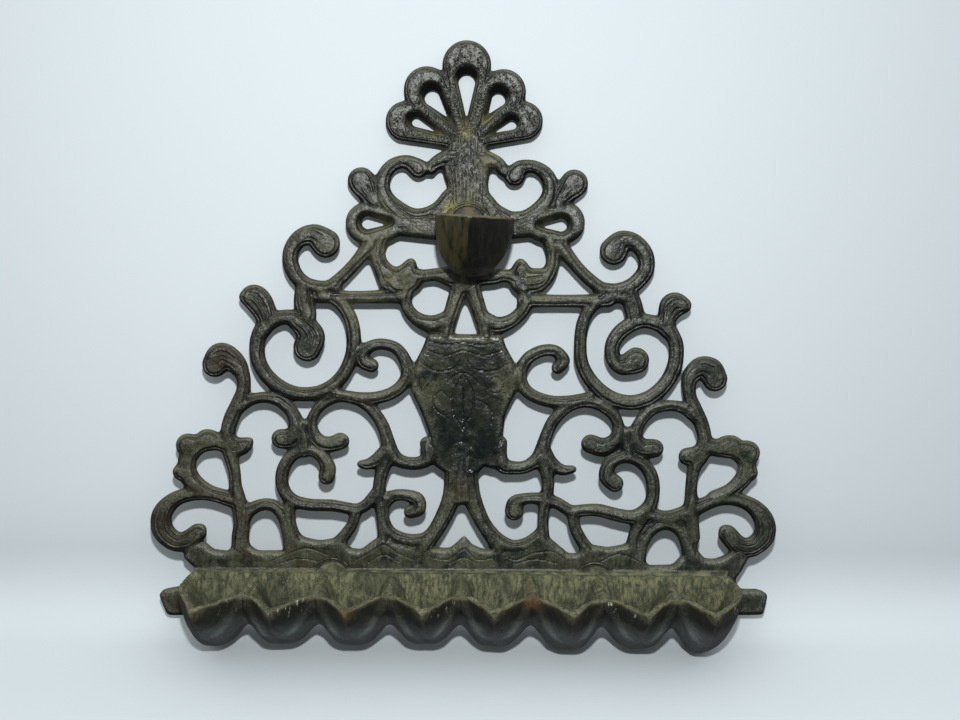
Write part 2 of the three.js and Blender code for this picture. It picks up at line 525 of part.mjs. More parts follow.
// Rings of one pan's outside or, with a wall, of its well, from the back to the spout.
// Each side gives its half width at the rim and the wider oval that its section is cut from.
function panRings(pan, wall, floor, from) {
  const deepest = pan.depth - floor;
  const end = wall > 0 ? pan.reach - spoutLip : pan.reach;
  const stations = pan.stations
    .map((station) => station - wall)
    .filter((out) => out > from + 1 && out < end - 1);
  return [from, ...stations, end].map((out) => {
    const bow = THREE.MathUtils.smoothstep(out, spoutStart * pan.reach, spoutEnd * pan.reach);
    const depth = Math.max(deepest * profile(keelCurve, out / pan.reach), wall > 0 ? wellTipDepth : tipDepth);
    const lean = pan.lean * THREE.MathUtils.smoothstep(out, 0, spoutStart * pan.reach);
    const set = lean * THREE.MathUtils.smoothstep(out, pan.leanFrom, pan.reach);
    const top = pan.rim(out);
    const ring = [];
    for (let j = 0; j <= sectionSteps; j += 1) {
      const angle = Math.PI * j / sectionSteps;
      const side = pan.sides[Math.cos(angle) > 0 ? 1 : 0];
      const half = Math.max(side.half(out + wall) - wall, wall > 0 ? wellTipHalf : tipHalf);
      const oval = Math.max(side.oval(out) - wall, half + Math.abs(lean - set));
      const fullness = THREE.MathUtils.lerp(pan.fullness, spoutFullness, bow);
      const across = Math.sign(Math.cos(angle)) * Math.abs(Math.cos(angle)) ** fullness;
      const x = THREE.MathUtils.clamp(lean + oval * across, set - half, set + half);
      ring.push(new THREE.Vector3(x, -pan.front - out, top - depth * Math.sin(angle) ** fullness));
    }
    if (wall > 0) {
      ring.push(new THREE.Vector3(ring[sectionSteps].x, -pan.front - out, top + pan.depth));
      ring.push(new THREE.Vector3(ring[0].x, -pan.front - out, top + pan.depth));
    }
    return ring;
  });
}

function panSolid(pan) {
  const body = solidOf(loft(panRings(pan, 0, 0, pan.from)));
  const well = solidOf(loft(panRings(pan, panWall, panFloor, pan.wellFrom)));
  return body.subtract(well);
}

// Side shared with the next pan: half a pitch wide as far as the saddle, then the pinched spout
const sharedSide = {
  half: (out) => panPitch / 2 * (out <= saddleReach ? 1
    : profile(spoutCurve, (out - saddleReach) / (panReach - saddleReach))),
  oval: (out) => {
    const belly = THREE.MathUtils.smoothstep(out, bellyReach, saddleReach);
    const spout = THREE.MathUtils.smoothstep(out, saddleReach, panReach);
    const swell = THREE.MathUtils.lerp(THREE.MathUtils.lerp(bellySwell, saddleSwell, belly), 1, spout);
    return sharedSide.half(out) * swell;
  },
};

function freeSide(halfBack, halfMax, reach) {
  const half = (out) => {
    const share = out / reach;
    return share < spoutStart ? halfBack + (halfMax - halfBack) * profile(freeSwell, share)
      : halfMax * profile(freeSpout, share);
  };
  return { half, oval: half };
}

const rowRim = (out) => (out < saddleReach
  ? THREE.MathUtils.lerp(rimBack, rimSaddle, out / saddleReach)
  : THREE.MathUtils.lerp(rimSaddle, rimTip, (out - saddleReach) / (panReach - saddleReach)));

function oilPan(index) {
  const endSide = freeSide(endHalfBack, endHalfMax, panReach);
  const spout = spoutCurve.map(([share]) => THREE.MathUtils.lerp(saddleReach, panReach, share));
  const geometry = geometryOf(panSolid({
    front: plateThickness,
    reach: panReach,
    depth: panDepth + keelDrop[index],
    lean: spoutLean[index],
    leanFrom: saddleReach,
    fullness: rowFullness,
    rim: rowRim,
    sides: [index === 0 ? endSide : sharedSide, index === panCount - 1 ? endSide : sharedSide],
    from: stripThickness,
    wellFrom: stripThickness + panBack,
    stations: [...bodyStations, ...spout],
  }));
  geometry.translate((index - (panCount - 1) / 2) * panPitch, 0, 0);
  return geometry;
}

function servantPan() {
  const side = freeSide(servantHalfBack, servantHalf, servantReach);
  const pan = geometryOf(panSolid({
    front: plateThickness,
    reach: servantReach,
    depth: servantDepth,
    lean: servantLean,
    leanFrom: spoutStart * servantReach,
    fullness: servantFullness,
    rim: () => servantRimAbove,
    sides: [side, side],
    from: 0,
    wellFrom: servantBack,
    stations: [...freeSwell, ...freeSpout].map(([share]) => share * servantReach),
  }));
  pan.translate(servantOffset, 0, 0);
  pan.rotateY(THREE.MathUtils.degToRad(servantRoll));
  const plug = tenon(0, 0, tenonRadius, -tenonRecess, -plateThickness - servantBack / 2);
  const geometry = geometryOf(solidOf(pan).add(solidOf(plug)));
  geometry.translate(servantTenonX, 0, servantTenonZ);
  return geometry;
}

const stripTenons = tenonHeights.map((z, i) => [plateCentre + (2 * i - 1) * tenonSpread, z]);

// The bearer strip that the pans are brazed to, with its two tenons through the plate
function panStrip() {
  const reach = panPitch * (panCount - 1) / 2 + endHalfBack;
  const outline = new THREE.Shape([
    new THREE.Vector2(-reach, stripBottom), new THREE.Vector2(reach, stripBottom),
    new THREE.Vector2(reach, rimBack), new THREE.Vector2(-reach, rimBack),
  ]);
  let strip = solidOf(slab(outline, plateThickness, stripThickness));
  for (const [x, z] of stripTenons) {
    strip = strip.add(solidOf(tenon(x, z, tenonRadius, -tenonRecess, -plateThickness - stripThickness)));
  }
  return geometryOf(strip);
}

function backPlate() {
  const strokes = [...leftStrokes, ...rightStrokes, ...centreStrokes];
  const grid = new DistanceGrid(boundsOf(strokes, [shieldOutline, railOutline]), outlineStep);
  strokes.forEach((stroke) => grid.addStroke(stroke));
  grid.addOutline(shieldOutline);
  grid.addOutline(railOutline);
  teardropHoles.forEach((stroke) => grid.cutStroke(stroke));
  const loops = grid.loops().map((loop) => simplified(loop, outlineTolerance));
  let plate = solidOf(slab(shapesFrom(loops), 0, plateThickness));
  for (const [x, z] of [...stripTenons, [servantTenonX, servantTenonZ]]) {
    plate = plate.subtract(solidOf(tenon(x, z, tenonRadius + tenonClearance, 1, -plateThickness - 1)));
  }
  for (const stroke of teardropRecesses) {
    const pocket = new DistanceGrid(boundsOf([stroke], []), outlineStep);
    pocket.addStroke(stroke);
    const outline = pocket.loops().map((loop) => simplified(loop, outlineTolerance));
    plate = plate.subtract(solidOf(slab(shapesFrom(outline), plateThickness - petalRecess, petalRecess + 1)));
  }
  return geometryOf(plate);
}

const lamp = new THREE.Group();

function addMesh(name, geometry, material) {
  const mesh = new THREE.Mesh(geometry, material);
  mesh.name = name;
  lamp.add(mesh);
}

addMesh('back_plate', backPlate(), castBrass);
addMesh('pan_strip', panStrip(), stripBrass);
for (let index = 0; index < panCount; index += 1) {
  addMesh(`oil_pan_${index + 1}`, oilPan(index), panBrass);
}
addMesh('servant_pan', servantPan(), servantBrass);

export default lamp;
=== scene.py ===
import math
import bmesh
import bpy
import numpy as np
from mathutils import Matrix, Vector


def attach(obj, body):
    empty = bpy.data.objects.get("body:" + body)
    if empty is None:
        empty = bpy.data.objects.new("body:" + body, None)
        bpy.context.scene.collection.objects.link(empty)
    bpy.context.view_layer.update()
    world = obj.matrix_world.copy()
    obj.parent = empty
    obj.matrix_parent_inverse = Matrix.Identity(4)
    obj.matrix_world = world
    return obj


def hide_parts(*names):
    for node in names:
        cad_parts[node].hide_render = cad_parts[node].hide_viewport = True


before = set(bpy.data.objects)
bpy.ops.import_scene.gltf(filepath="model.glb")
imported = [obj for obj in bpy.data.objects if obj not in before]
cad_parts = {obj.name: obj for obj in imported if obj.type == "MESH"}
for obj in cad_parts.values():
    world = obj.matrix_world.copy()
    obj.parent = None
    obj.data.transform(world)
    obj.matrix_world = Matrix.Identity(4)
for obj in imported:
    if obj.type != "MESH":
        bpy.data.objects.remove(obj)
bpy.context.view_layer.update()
millimetre = 0.001
print("solids loaded:", len(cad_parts))


class Wire:
    # One output of a node. Python's operators on it add Math nodes
    def __init__(self, shader, socket):
        self.shader = shader
        self.socket = socket

    def maths(self, operation, *values):
        # One Math node on the values in their order
        return self.shader.node("ShaderNodeMath", {"operation": operation}, dict(enumerate(values)))

    def __add__(self, other):
        return self.maths("ADD", self, other)

    def __radd__(self, other):
        return self.maths("ADD", other, self)

    def __sub__(self, other):
        return self.maths("SUBTRACT", self, other)

    def __rsub__(self, other):
        return self.maths("SUBTRACT", other, self)

    def __mul__(self, other):
        return self.maths("MULTIPLY", self, other)

    def __rmul__(self, other):
        return self.maths("MULTIPLY", other, self)

    def __truediv__(self, other):
        return self.maths("DIVIDE", self, other)

    def __rtruediv__(self, other):
        return self.maths("DIVIDE", other, self)

    def __neg__(self):
        return self.maths("MULTIPLY", self, -1.0)

    def __abs__(self):
        return self.maths("ABSOLUTE", self)

    def part(self):
        # What is left after the whole number
        return self.maths("FRACT", self)

    def between(self, low, high):
        # 0 below low, 1 above high and a smooth step between them
        return self.shader.node("ShaderNodeMapRange", {"interpolation_type": "SMOOTHSTEP"},
                                {"Value": self, "From Min": low, "From Max": high})

    def most(self, other):
        # The larger of the two
        return self.maths("MAXIMUM", self, other)


class Shader:
    # The nodes of a material or of the world, written as expressions
    def __init__(self, name, kind="materials"):
        self.block = getattr(bpy.data, kind).new(name)
        self.block.use_nodes = True
        self.tree = self.block.node_tree
        self.tree.nodes.clear()

    def node(self, kind, settings=None, inputs=None, output=0):
        # Makes any node: its settings first, then a value or a link for each socket that is named
        made = self.tree.nodes.new(kind)
        for key, value in (settings or {}).items():
            setattr(made, key, value)
        for key, value in (inputs or {}).items():
            if isinstance(value, Wire):
                self.tree.links.new(value.socket, made.inputs[key])
            else:
                made.inputs[key].default_value = value
        return Wire(self, made.outputs[output]) if made.outputs else None

    def attribute(self, name):
        # A number that the mesh holds at each point
        return self.node("ShaderNodeAttribute", {"attribute_name": name}, output=2)

    def place(self, stretch=(1.0, 1.0, 1.0)):
        # Object coordinates in metres, stretched along each axis
        coordinates = self.node("ShaderNodeTexCoord", output=3)
        return self.node("ShaderNodeMapping", inputs={"Vector": coordinates, "Scale": stretch})

    def noise(self, size, detail=3.0, roughness=0.55, stretch=(1.0, 1.0, 1.0), seed=0.0):
        # Fractal noise whose blobs are about size millimetres across
        return self.node("ShaderNodeTexNoise", {"noise_dimensions": "4D"},
                         {"Vector": self.place(stretch), "W": seed, "Scale": 1.0 / (size * millimetre),
                          "Detail": detail, "Roughness": roughness})

    def blend(self, mask, first, second):
        # first where mask is 0, second where it is 1 and an even mix between them
        colours = {6: first if isinstance(first, Wire) else (*first, 1.0),
                   7: second if isinstance(second, Wire) else (*second, 1.0)}
        return self.node("ShaderNodeMix", {"data_type": "RGBA"}, {0: mask, **colours}, output=2)

    def facing(self, axis):
        # Cosine of the angle between the surface's normal and X, Y or Z
        normal = self.node("ShaderNodeNewGeometry", output=1)
        return self.node("ShaderNodeSeparateXYZ", inputs={0: normal}, output=axis)

    def bump(self, height, depth, normal=None):
        # Tilts the normal as if height from 0 to 1 stood out by depth millimetres
        inputs = {"Height": height, "Distance": depth * millimetre, "Strength": 1.0}
        if normal is not None:
            inputs["Normal"] = normal
        return self.node("ShaderNodeBump", inputs=inputs)

    def finish(self, **inputs):
        # Principled surface from the inputs that are given
        keys = {"colour": "Base Color", "roughness": "Roughness", "metallic": "Metallic", "normal": "Normal",
                "specular": "Specular IOR Level"}
        surface = self.node("ShaderNodeBsdfPrincipled", inputs={keys[k]: value for k, value in inputs.items()})
        self.node("ShaderNodeOutputMaterial", inputs={"Surface": surface})
        return self.block


def buildMesh(name, points, faces, attributes=None, sharp=45.0):
    # Mesh from points in millimetres and arrays of faces, one row of point numbers per face.
    # Edges whose faces meet at more than sharp degrees stay sharp.
    mesh = bpy.data.meshes.new(name)
    corners = np.concatenate([f.ravel() for f in faces])
    sizes = np.concatenate([np.full(len(f), f.shape[1]) for f in faces])
    mesh.vertices.add(len(points))
    mesh.vertices.foreach_set("co", (points * millimetre).astype(np.float32).ravel())
    mesh.loops.add(len(corners))
    mesh.loops.foreach_set("vertex_index", corners.astype(np.int32))
    mesh.polygons.add(len(sizes))
    mesh.polygons.foreach_set("loop_start", (np.cumsum(sizes) - sizes).astype(np.int32))
    mesh.update(calc_edges=True)
    for key, values in (attributes or {}).items():
        mesh.attributes.new(key, "FLOAT", "POINT").data.foreach_set("value", values.astype(np.float32).ravel())
    mesh.validate()
    mesh.shade_smooth()
    mesh.set_sharp_from_angle(angle=math.radians(sharp))
    piece = bpy.data.objects.new(name, mesh)
    bpy.context.scene.collection.objects.link(piece)
    return piece


def dress(piece, material, slot, *nodes):
    # Gives a piece its material, fixes it to the root and lets it take the place of the named solids
    piece.data.materials.clear()
    piece.data.materials.append(material)
    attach(piece, "root")
    if nodes:
        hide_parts(*nodes)


def smoothstep(value, low, high):
    # 3t^2 - 2t^3, where t goes from 0 at low to 1 at high
    t = np.clip((value - low) / (high - low), 0.0, 1.0)
    return t * t * (3 - 2 * t)


def smoothPath(numbers, parts=7):
    # Curve through x, z, width triples. Each stretch is the cubic that passes a knot in the direction
    # of the line between the knot's two neighbours.
    knots = np.array(numbers, float).reshape(-1, 3)
    if len(knots) == 2:
        return knots
    line = np.vstack([2 * knots[0] - knots[1], knots, 2 * knots[-1] - knots[-2]])
    a, b, c, d = (line[i:len(line) - 3 + i, None, :] for i in range(4))
    t = (np.arange(parts) / parts)[None, :, None]
    curve = b + 0.5 * t * (c - a) + t ** 2 * (a - 2.5 * b + 2 * c - 0.5 * d)
    curve = curve + t ** 3 * (1.5 * (b - c) + 0.5 * (d - a))
    return np.vstack([curve.reshape(-1, 3), knots[-1]])


def waves(x, z, size, seed, count=18):
    # Sum of sine waves in random directions, each about size millimetres long, scaled to lie mostly
    # between -1 and 1
    random = np.random.default_rng(seed)
    angle = random.uniform(0, 2 * np.pi, count)
    turns = 2 * np.pi / (size * random.uniform(0.6, 1.7, count))
    phase = random.uniform(0, 2 * np.pi, count)
    total = sum(np.sin(k * (x * np.cos(a) + z * np.sin(a)) + p) for a, k, p in zip(angle, turns, phase))
    return total / math.sqrt(count) * 0.8


plate = {
    "thickness": 4.5,
    "wallHeight": 2.8,            # height at which a bar is widest
    "draft": 0.75,                # how much narrower each side is at the wall face
    "flankWidth": 1.0,            # width of the sloping side at a bar's front edge
    "crown": 0.75,                # how much lower a bar's edge is than its middle
    "lip": 1.0,                   # height of a petal's hole at its edge
    "merge": 0.35,                # 0 shows each bar's own edge where bars cross, 1 melts them together
    "step": 0.1,                  # neighbouring bars lie up to three of these steps behind the front
    "shieldDepth": 0.2,           # how far the shield lies behind the front
    "railDepth": 0.3,             # and the rail
    "railFlat": 1.0,              # height below which the rail is flat for the pan strip
    "seam": 1.3,                  # width of the dark arc over a stub
    "unevenness": 0.09,           # size of the casting's waves
    "lumps": 0.35,                # size of the lumps of burnt oil
    "grid": 0.45,                 # distance between grid points
    "across": (-104.0, 105.5),    # the grid's reach along X
    "upright": (-18.0, 171.5),    # and along Z
}

# Bars as x, z, width triples along their middle lines
leftBars = {
    "leftVolute": [-13.8, 129, 6, -17.5, 131, 4.2, -21.8, 130, 4, -24.5, 126.5, 4.5, -25, 121.5, 5.5,
        -22, 117, 6.5, -15, 112.7, 8, -6, 114, 9],
    "leftFillet": [-11, 113.5, 7, -7, 116.3, 6, -4.4, 120.5, 4.6],
    "leftBudLeaf": [-27.5, 118.5, 5, -29.5, 121.5, 6.5, -31.5, 125, 8.6],
    "leftEye": [-30, 112, 13, -24, 112, 11],
    "leftStrutUpper": [-28.5, 106, 5, -33, 100.3, 4, -37, 96, 4, -41, 92.5, 4.2],
    "leftStrutInner": [-28, 104, 4, -26, 98, 3.6, -24, 93, 4],
    "leftHook": [-24.5, 110, 5, -26, 104, 3.8, -25.3, 99.5, 4.2, -22.5, 95.8, 6.2, -18, 95.2, 6],
    "leftHookLeaf": [-20, 94, 8, -17.3, 97, 6, -16.2, 99.6, 3.6],
    "leftHookInner": [-17, 96, 5, -12.5, 95.8, 4, -8, 96.2, 4.2, -3.5, 95.6, 6.5],
    "leftRing": [-15, 94, 5, -17.6, 91, 4, -17.4, 86, 3.8, -14.2, 82.2, 4.4, -9.5, 80.6, 5.6, -5.5, 82, 5],
    "leftCrossBar": [-45, 89.1, 4.2, -32, 89, 4, -18, 89.4, 4.6],
    "leftCurl": [-42.8, 105.8, 9.2, -46.5, 108.4, 6.6, -51, 107, 5.5, -53.8, 102.5, 5, -53, 97, 5,
        -49.5, 93.2, 4.6, -44.5, 91.9, 4.4, -40, 92.3, 4.4],
    "leftTie": [-50, 91.5, 5, -49.8, 87.5, 6.4, -48.8, 83.5, 6],
    "leftOuterLeaf": [-61.5, 80, 5, -62.3, 84.5, 7.5, -65, 88.5, 8.4, -68, 88.8, 4.4],
    "leftBigScroll": [-62.3, 80.5, 5, -64.6, 75, 5, -64.4, 69, 4.8, -61.5, 63.5, 4.8, -56, 59.3, 4.8,
        -50, 58, 4.6, -43.5, 59.3, 4.6, -38.3, 63.5, 4.4, -35.2, 69.5, 4.4, -34.2, 76, 4.6, -35.5, 83, 4.4,
        -39.5, 88, 4, -45, 90.3, 4],
    "leftScrollHead": [-63.5, 77.5, 5, -60.3, 81, 5, -55, 82.6, 4.8, -50.2, 80, 7.2, -47.7, 76.6, 8.8,
        -48.9, 73, 9],
    "leftSideLeaf": [-78.2, 67.4, 8.2, -76, 70, 8.8, -72.2, 68.3, 7, -69.6, 64.2, 4.8, -69.2, 60, 4.4,
        -71, 55, 4.8, -73.4, 50, 5, -74.6, 45, 4.8, -73, 41, 6, -70, 41.2, 5.6, -67.6, 42.8, 2.6],
    "leftArchOuter": [-71, 53.5, 4, -66.5, 56.3, 3.6, -61.5, 56.9, 3.6, -57, 55.2, 4, -53.6, 51.5, 4.4,
        -52.8, 47, 5, -54.6, 43.8, 6, -57.6, 43.6, 6.4],
    "leftArchInner": [-38.6, 43, 5.6, -42, 41.9, 5, -46, 43.3, 4.4, -47.9, 48, 3.6, -46.5, 52.5, 3.4,
        -43, 55.7, 3.4, -38.5, 57.2, 3.4, -33, 56.2, 3.6, -28.5, 53, 3.8, -25.3, 48.2, 4, -23.6, 43, 4.4,
        -22.4, 39, 5, -19.8, 36.6, 4.4, -15.5, 35.8, 4.2, -11.8, 36.6, 4.4, -10.2, 39, 5.4, -11.2, 42.4, 4.6],
    "leftMidCurl": [-28.6, 67.4, 4.6, -31.3, 68.6, 4.4, -31, 72, 4, -26.5, 74.2, 3.6, -21, 73, 3.8,
        -17.8, 68.5, 4, -17.6, 63.8, 4, -20.5, 59.7, 4, -25.5, 57.4, 4, -31.5, 56.8, 4, -38, 57.8, 3.6,
        -43, 59, 3.6],
    "leftBarb": [-24.6, 40, 4, -27.4, 36.9, 4, -30, 35.5, 3.6, -32.4, 35.5, 2.6],
    "leftStem": [-23.5, 39, 5, -25.5, 33, 4.4, -26.5, 28, 4, -26.2, 22, 3.6, -25.4, 16, 3.6, -25, 11, 4,
        -25, 6, 5],
    "leftLowCurl": [-16.5, 19.9, 4.4, -13.7, 20.9, 4.4, -14.2, 24.2, 4.4, -18.5, 25.5, 3.8, -22.3, 25, 4,
        -25, 21.8, 4, -25, 17, 4, -22.7, 12.8, 4.2, -17.6, 10.4, 4.6, -12, 10.6, 5, -8.8, 13, 5],
    "leftLeg": [-1.8, 33, 7.4, -3.2, 25, 6, -6, 18, 5.4, -9.5, 12, 5, -13, 7, 5],
    "leftBow": [-43.3, 31.4, 5.4, -42.8, 34.5, 5, -45, 38.2, 4.2, -49.3, 40, 3.6, -54, 38.3, 4,
        -57.2, 33.5, 4.2, -57.4, 28, 4.2, -54.6, 23.7, 4.2, -49, 22.1, 4, -42, 21.9, 4, -37, 21.1, 3.8,
        -33.5, 20.7, 3.8, -30.5, 22.3, 3.8, -27.5, 26, 3.8],
    "leftWeb": [-50.6, 48.5, 3, -50.6, 43, 6, -50.4, 40, 5],
    "leftFootBrace": [-33.8, 20, 3.6, -35.3, 15.5, 3.6, -38.5, 11, 4, -42.5, 7, 4.5],
    "leftFootPost": [-55.5, 21, 4, -55.3, 15.5, 4.4, -53.6, 10, 5, -52, 6, 6],
    "leftFootArch": [-71.2, 6, 6.2, -71.2, 12.5, 5.6, -69.5, 18.5, 4.6, -65.5, 21.6, 4, -61, 21.9, 4,
        -57.6, 18.6, 4, -55.8, 13, 4.4, -54.8, 7, 5],
    "leftPost": [-71, 17, 5, -71.6, 23, 5, -72.5, 28, 4.2, -72.8, 33, 4, -74, 39, 5],
    "leftCornerRing": [-75.5, 41.5, 5, -79.5, 42.8, 6, -84, 41.6, 6.4, -87.2, 38, 6, -88, 33.5, 6,
        -86.2, 29.3, 6, -81.5, 26.3, 4.6, -76, 24.3, 5],
    "leftLobeHigh": [-86.5, 41, 8, -87.3, 41.2, 8],
    "leftLobeInner": [-80.6, 43, 7.2, -81.4, 43, 7.2],
    "leftLobeLow": [-88.5, 32.6, 5.6, -89.8, 32.5, 5.6],
    "leftCornerCurl": [-74, 23.5, 5, -80, 25, 4, -86, 25.4, 4.4, -92, 23.6, 5, -96.2, 19, 6.4, -96.4, 13.5, 7,
        -92.7, 9.6, 6.4, -88.5, 10, 6.4, -84.9, 12.8, 5.8],
}

rightBars = {
    "rightVolute": [16, 127, 6.6, 18, 129.5, 4.6, 22.3, 129.6, 4, 26, 127, 4.6, 27.2, 122.5, 5, 25.3, 118, 5.4,
        20.5, 113.6, 6.4, 15, 111.8, 7.6, 8, 113, 8],
    "rightFillet": [14, 112.6, 7, 9.6, 115.6, 6, 7.2, 119.5, 4.4],
    "rightBudLeaf": [29.5, 118.5, 5, 31.6, 121.5, 6.5, 34.4, 124.6, 8.8],
    "rightEye": [31.5, 112.6, 13, 25, 112, 11],
    "rightStrutUpper": [30.3, 105.5, 5, 35, 99.7, 4, 39, 95.6, 4, 43.5, 92, 4.2],
    "rightHook": [26.5, 109, 5, 28, 104, 4.4, 28, 99.5, 4.2, 26.2, 96, 5.2, 22.3, 94.4, 8, 18, 94.4, 6],
    "rightHookLeaf": [19, 93.5, 7, 18.3, 97, 6.5, 18.1, 99.8, 3.4],
    "rightHookInner": [18, 95, 5, 13.5, 96, 4, 9.5, 95.6, 5, 5, 95.6, 5.6],
    "rightRing": [17, 93.5, 4.4, 19.6, 90.5, 4, 19.7, 86.3, 4.2, 16, 82.2, 4.4, 11.3, 80.4, 5.2, 7.5, 82, 5],
    "rightCrossBar": [46, 88.4, 4.2, 33, 88.2, 4, 19, 88.2, 4.2],
    "rightCurl": [47.2, 104, 9, 49.6, 107.2, 6.2, 53.6, 106.6, 5.4, 57, 102.8, 5.2, 57.2, 97.8, 5.2,
        53.5, 93.4, 5, 48.5, 91.6, 4.6, 43.8, 91.9, 4.4],
    "rightTie": [52, 91.5, 5, 53.3, 87.5, 6, 54.5, 83, 6],
    "rightOuterLeaf": [64.4, 79, 5, 64.6, 83.5, 6, 66.2, 87, 8.2, 69.5, 87, 5],
    "rightBigScroll": [65.5, 79, 4.6, 67.4, 74.5, 4.8, 67.3, 69, 4.8, 65, 63, 4.8, 60, 58, 4.8, 53.5, 56, 4.8,
        46.7, 57.8, 4.6, 41.2, 62.5, 4.4, 38, 68, 4.2, 37.2, 74, 4, 37.8, 81, 4, 40.5, 86.3, 4, 45.5, 89.6, 4,
        51, 89.5, 4.4],
    "rightScrollHead": [66, 77.5, 4.6, 62, 80.8, 4.6, 56.5, 82, 4.6, 51, 79.6, 5, 47.6, 75.2, 4.8,
        47.5, 70.5, 4.8, 50.2, 67.4, 5, 54.8, 69.4, 8.6],
    "rightSideLeaf": [80, 63.7, 8, 78.4, 66.6, 8, 75, 67.2, 6.8, 72, 63.6, 5, 72.2, 58.5, 4.2, 74, 54, 4.6,
        76.2, 49, 4.8, 77.4, 44, 4.6, 76, 39.5, 6, 72, 38.7, 5.8],
    "rightArchOuter": [74, 51.5, 4, 70, 54.4, 3.6, 65.5, 55.1, 3.6, 60.5, 53.8, 3.8, 56.8, 50, 4,
        55.3, 45.5, 4.4, 56.8, 41.6, 6, 61.3, 41.2, 6.2],
    "rightArchInner": [41, 42.6, 6.2, 44.8, 41.5, 6, 48.4, 43.4, 4.8, 49.8, 47.5, 3.8, 48.5, 51.5, 3.8,
        44.5, 54.8, 3.8, 39, 56.1, 3.6, 33.5, 54.4, 3.8, 29.4, 50.5, 4, 27, 45.5, 4, 25.6, 41, 4.4,
        24, 37.4, 4.6, 20.5, 35, 4.2, 16.5, 34.6, 4.4, 13, 35.4, 5, 11.9, 39, 5, 12.6, 43, 3.8],
    "rightMidCurl": [30.2, 67, 4.2, 32, 69.3, 4, 29.5, 72.3, 3.8, 25.2, 72.4, 3.8, 20.8, 70, 4, 18.5, 65.5, 4,
        19.3, 61, 4, 22.5, 58, 4, 28, 56.2, 4, 34, 56.2, 4, 40, 57.4, 3.8],
    "rightBarb": [26.2, 41, 4, 28.6, 36.4, 4.2, 32, 34, 3.6, 35.6, 34.3, 2.6],
    "rightStem": [25.5, 38, 5, 27, 33.5, 4.4, 27.7, 29, 4, 26.8, 24, 4, 26.2, 18, 3.6, 26.3, 12, 4, 26, 7, 5],
    "rightLowCurl": [16.9, 20.4, 6.2, 17.2, 23.3, 4.8, 21, 24.6, 3.8, 26, 24.4, 4, 30.5, 23.2, 4, 35, 20.4, 4],
    "rightFootCurl": [8.5, 14, 5, 11.6, 10.8, 5, 16.5, 8.4, 4.8, 21.5, 9.6, 4.6, 25.4, 13, 4],
    "rightLeg": [1.4, 33, 7.4, 3.2, 25, 6, 6.4, 17.4, 5, 9.8, 12, 5, 13, 7, 5],
    "rightBow": [49, 29.7, 5.8, 46.4, 32.2, 5.2, 47.2, 36, 4.4, 51, 38.2, 4, 56, 37.5, 4, 60, 33.6, 4.4,
        61.4, 28, 4.4, 60.3, 22.5, 4.4, 55.8, 18.8, 4.6, 50, 19.4, 4.4, 44, 20.9, 4.2, 39, 20.8, 4,
        35.5, 20.3, 4],
    "rightWeb": [52.6, 47, 2.6, 52.8, 42.5, 4, 53.5, 39, 5],
    "rightFootBrace": [35.6, 20, 3.8, 36.6, 15, 3.8, 38.9, 10.5, 4, 42, 6, 4.5],
    "rightFootPost": [58.5, 18.5, 6, 56, 13, 4.4, 55.2, 8, 5, 55, 4, 6],
    "rightFootArch": [57, 3, 5, 58, 9.5, 4.4, 61, 14.4, 4.2, 65.5, 16.5, 4, 70, 15, 4.4, 72.9, 10.5, 5,
        74.2, 5, 5.6, 74.5, 2, 6],
    "rightFootTie": [60.5, 19.5, 4.5, 66.5, 18.4, 5, 72.5, 20, 5.4],
    "rightPost": [74.3, 12, 5.4, 73.4, 17, 6, 73.6, 24, 4.4, 73.6, 30, 3.8, 74.3, 35, 4.4, 76, 39, 6],
    "rightCornerRing": [78, 42, 5, 82.5, 41.4, 6, 87.5, 40.6, 6, 91, 37, 6, 90.4, 32, 5.6, 86.3, 27.7, 4.6,
        81, 25.4, 4.4],
    "rightLobeHigh": [90.6, 40.2, 7.8, 91.3, 40, 7.8],
    "rightLobeInner": [84.6, 42, 7.4, 86, 42, 7.4],
    "rightLobeLow": [91, 33.2, 6, 92, 33.4, 5.6],
    "rightCornerCurl": [75, 21.5, 5, 81, 24.2, 4.4, 87, 24.8, 4.2, 93, 22.8, 5, 97, 18.4, 6.4, 97.7, 13, 7,
        94, 9, 6.4, 89.5, 9.4, 6.4, 85.6, 13.4, 6],
}

centreBars = {
    "neck": [1.4, 110, 18, 1.4, 117, 15, 1.5, 124, 12.6, 1, 130, 14.6, 1, 135, 12],
    "shoulderLeft": [0, 134, 4.6, -5, 132.4, 4.8, -8.8, 130.4, 4, -9.8, 128.4, 3],
    "shoulderRight": [2, 134, 4.6, 7, 132, 5.2, 11, 130.4, 4.2, 12.4, 128.2, 3.2],
    "petalTop": [1, 138, 5, 1, 160.2, 15],
    "petalHighLeft": [0, 138, 5, -11.2, 152.8, 14.2],
    "petalHighRight": [2, 138, 5, 12.3, 152.3, 13.8],
    "petalLowLeft": [-1, 137.5, 5, -17.8, 143.3, 12.2],
    "petalLowRight": [3, 137.5, 5, 18.6, 143.6, 11.8],
    "crossBody": [-23, 112.4, 8, 1, 111, 9, 25, 112.4, 8],
    "panPost": [1.2, 108, 9, 1.2, 95, 9],
    "trestleLeft": [0.2, 95, 6, -2.4, 88, 5, -4.6, 80, 4.6, -5.6, 76, 4.6],
    "trestleRight": [1.8, 95, 6, 4.3, 88, 5, 6.9, 80, 4.6, 8, 76, 4.6],
    "collar": [-0.4, 38, 11, -0.5, 33, 10, -0.5, 27, 9.4],
}
# Bars without reeding, and how much they are brushed
plainForms = {"neck": 1.0, "crossBody": 0.45, "panPost": 0.45, "collar": 0.8, "leftEye": 0.45, "rightEye": 0.45}

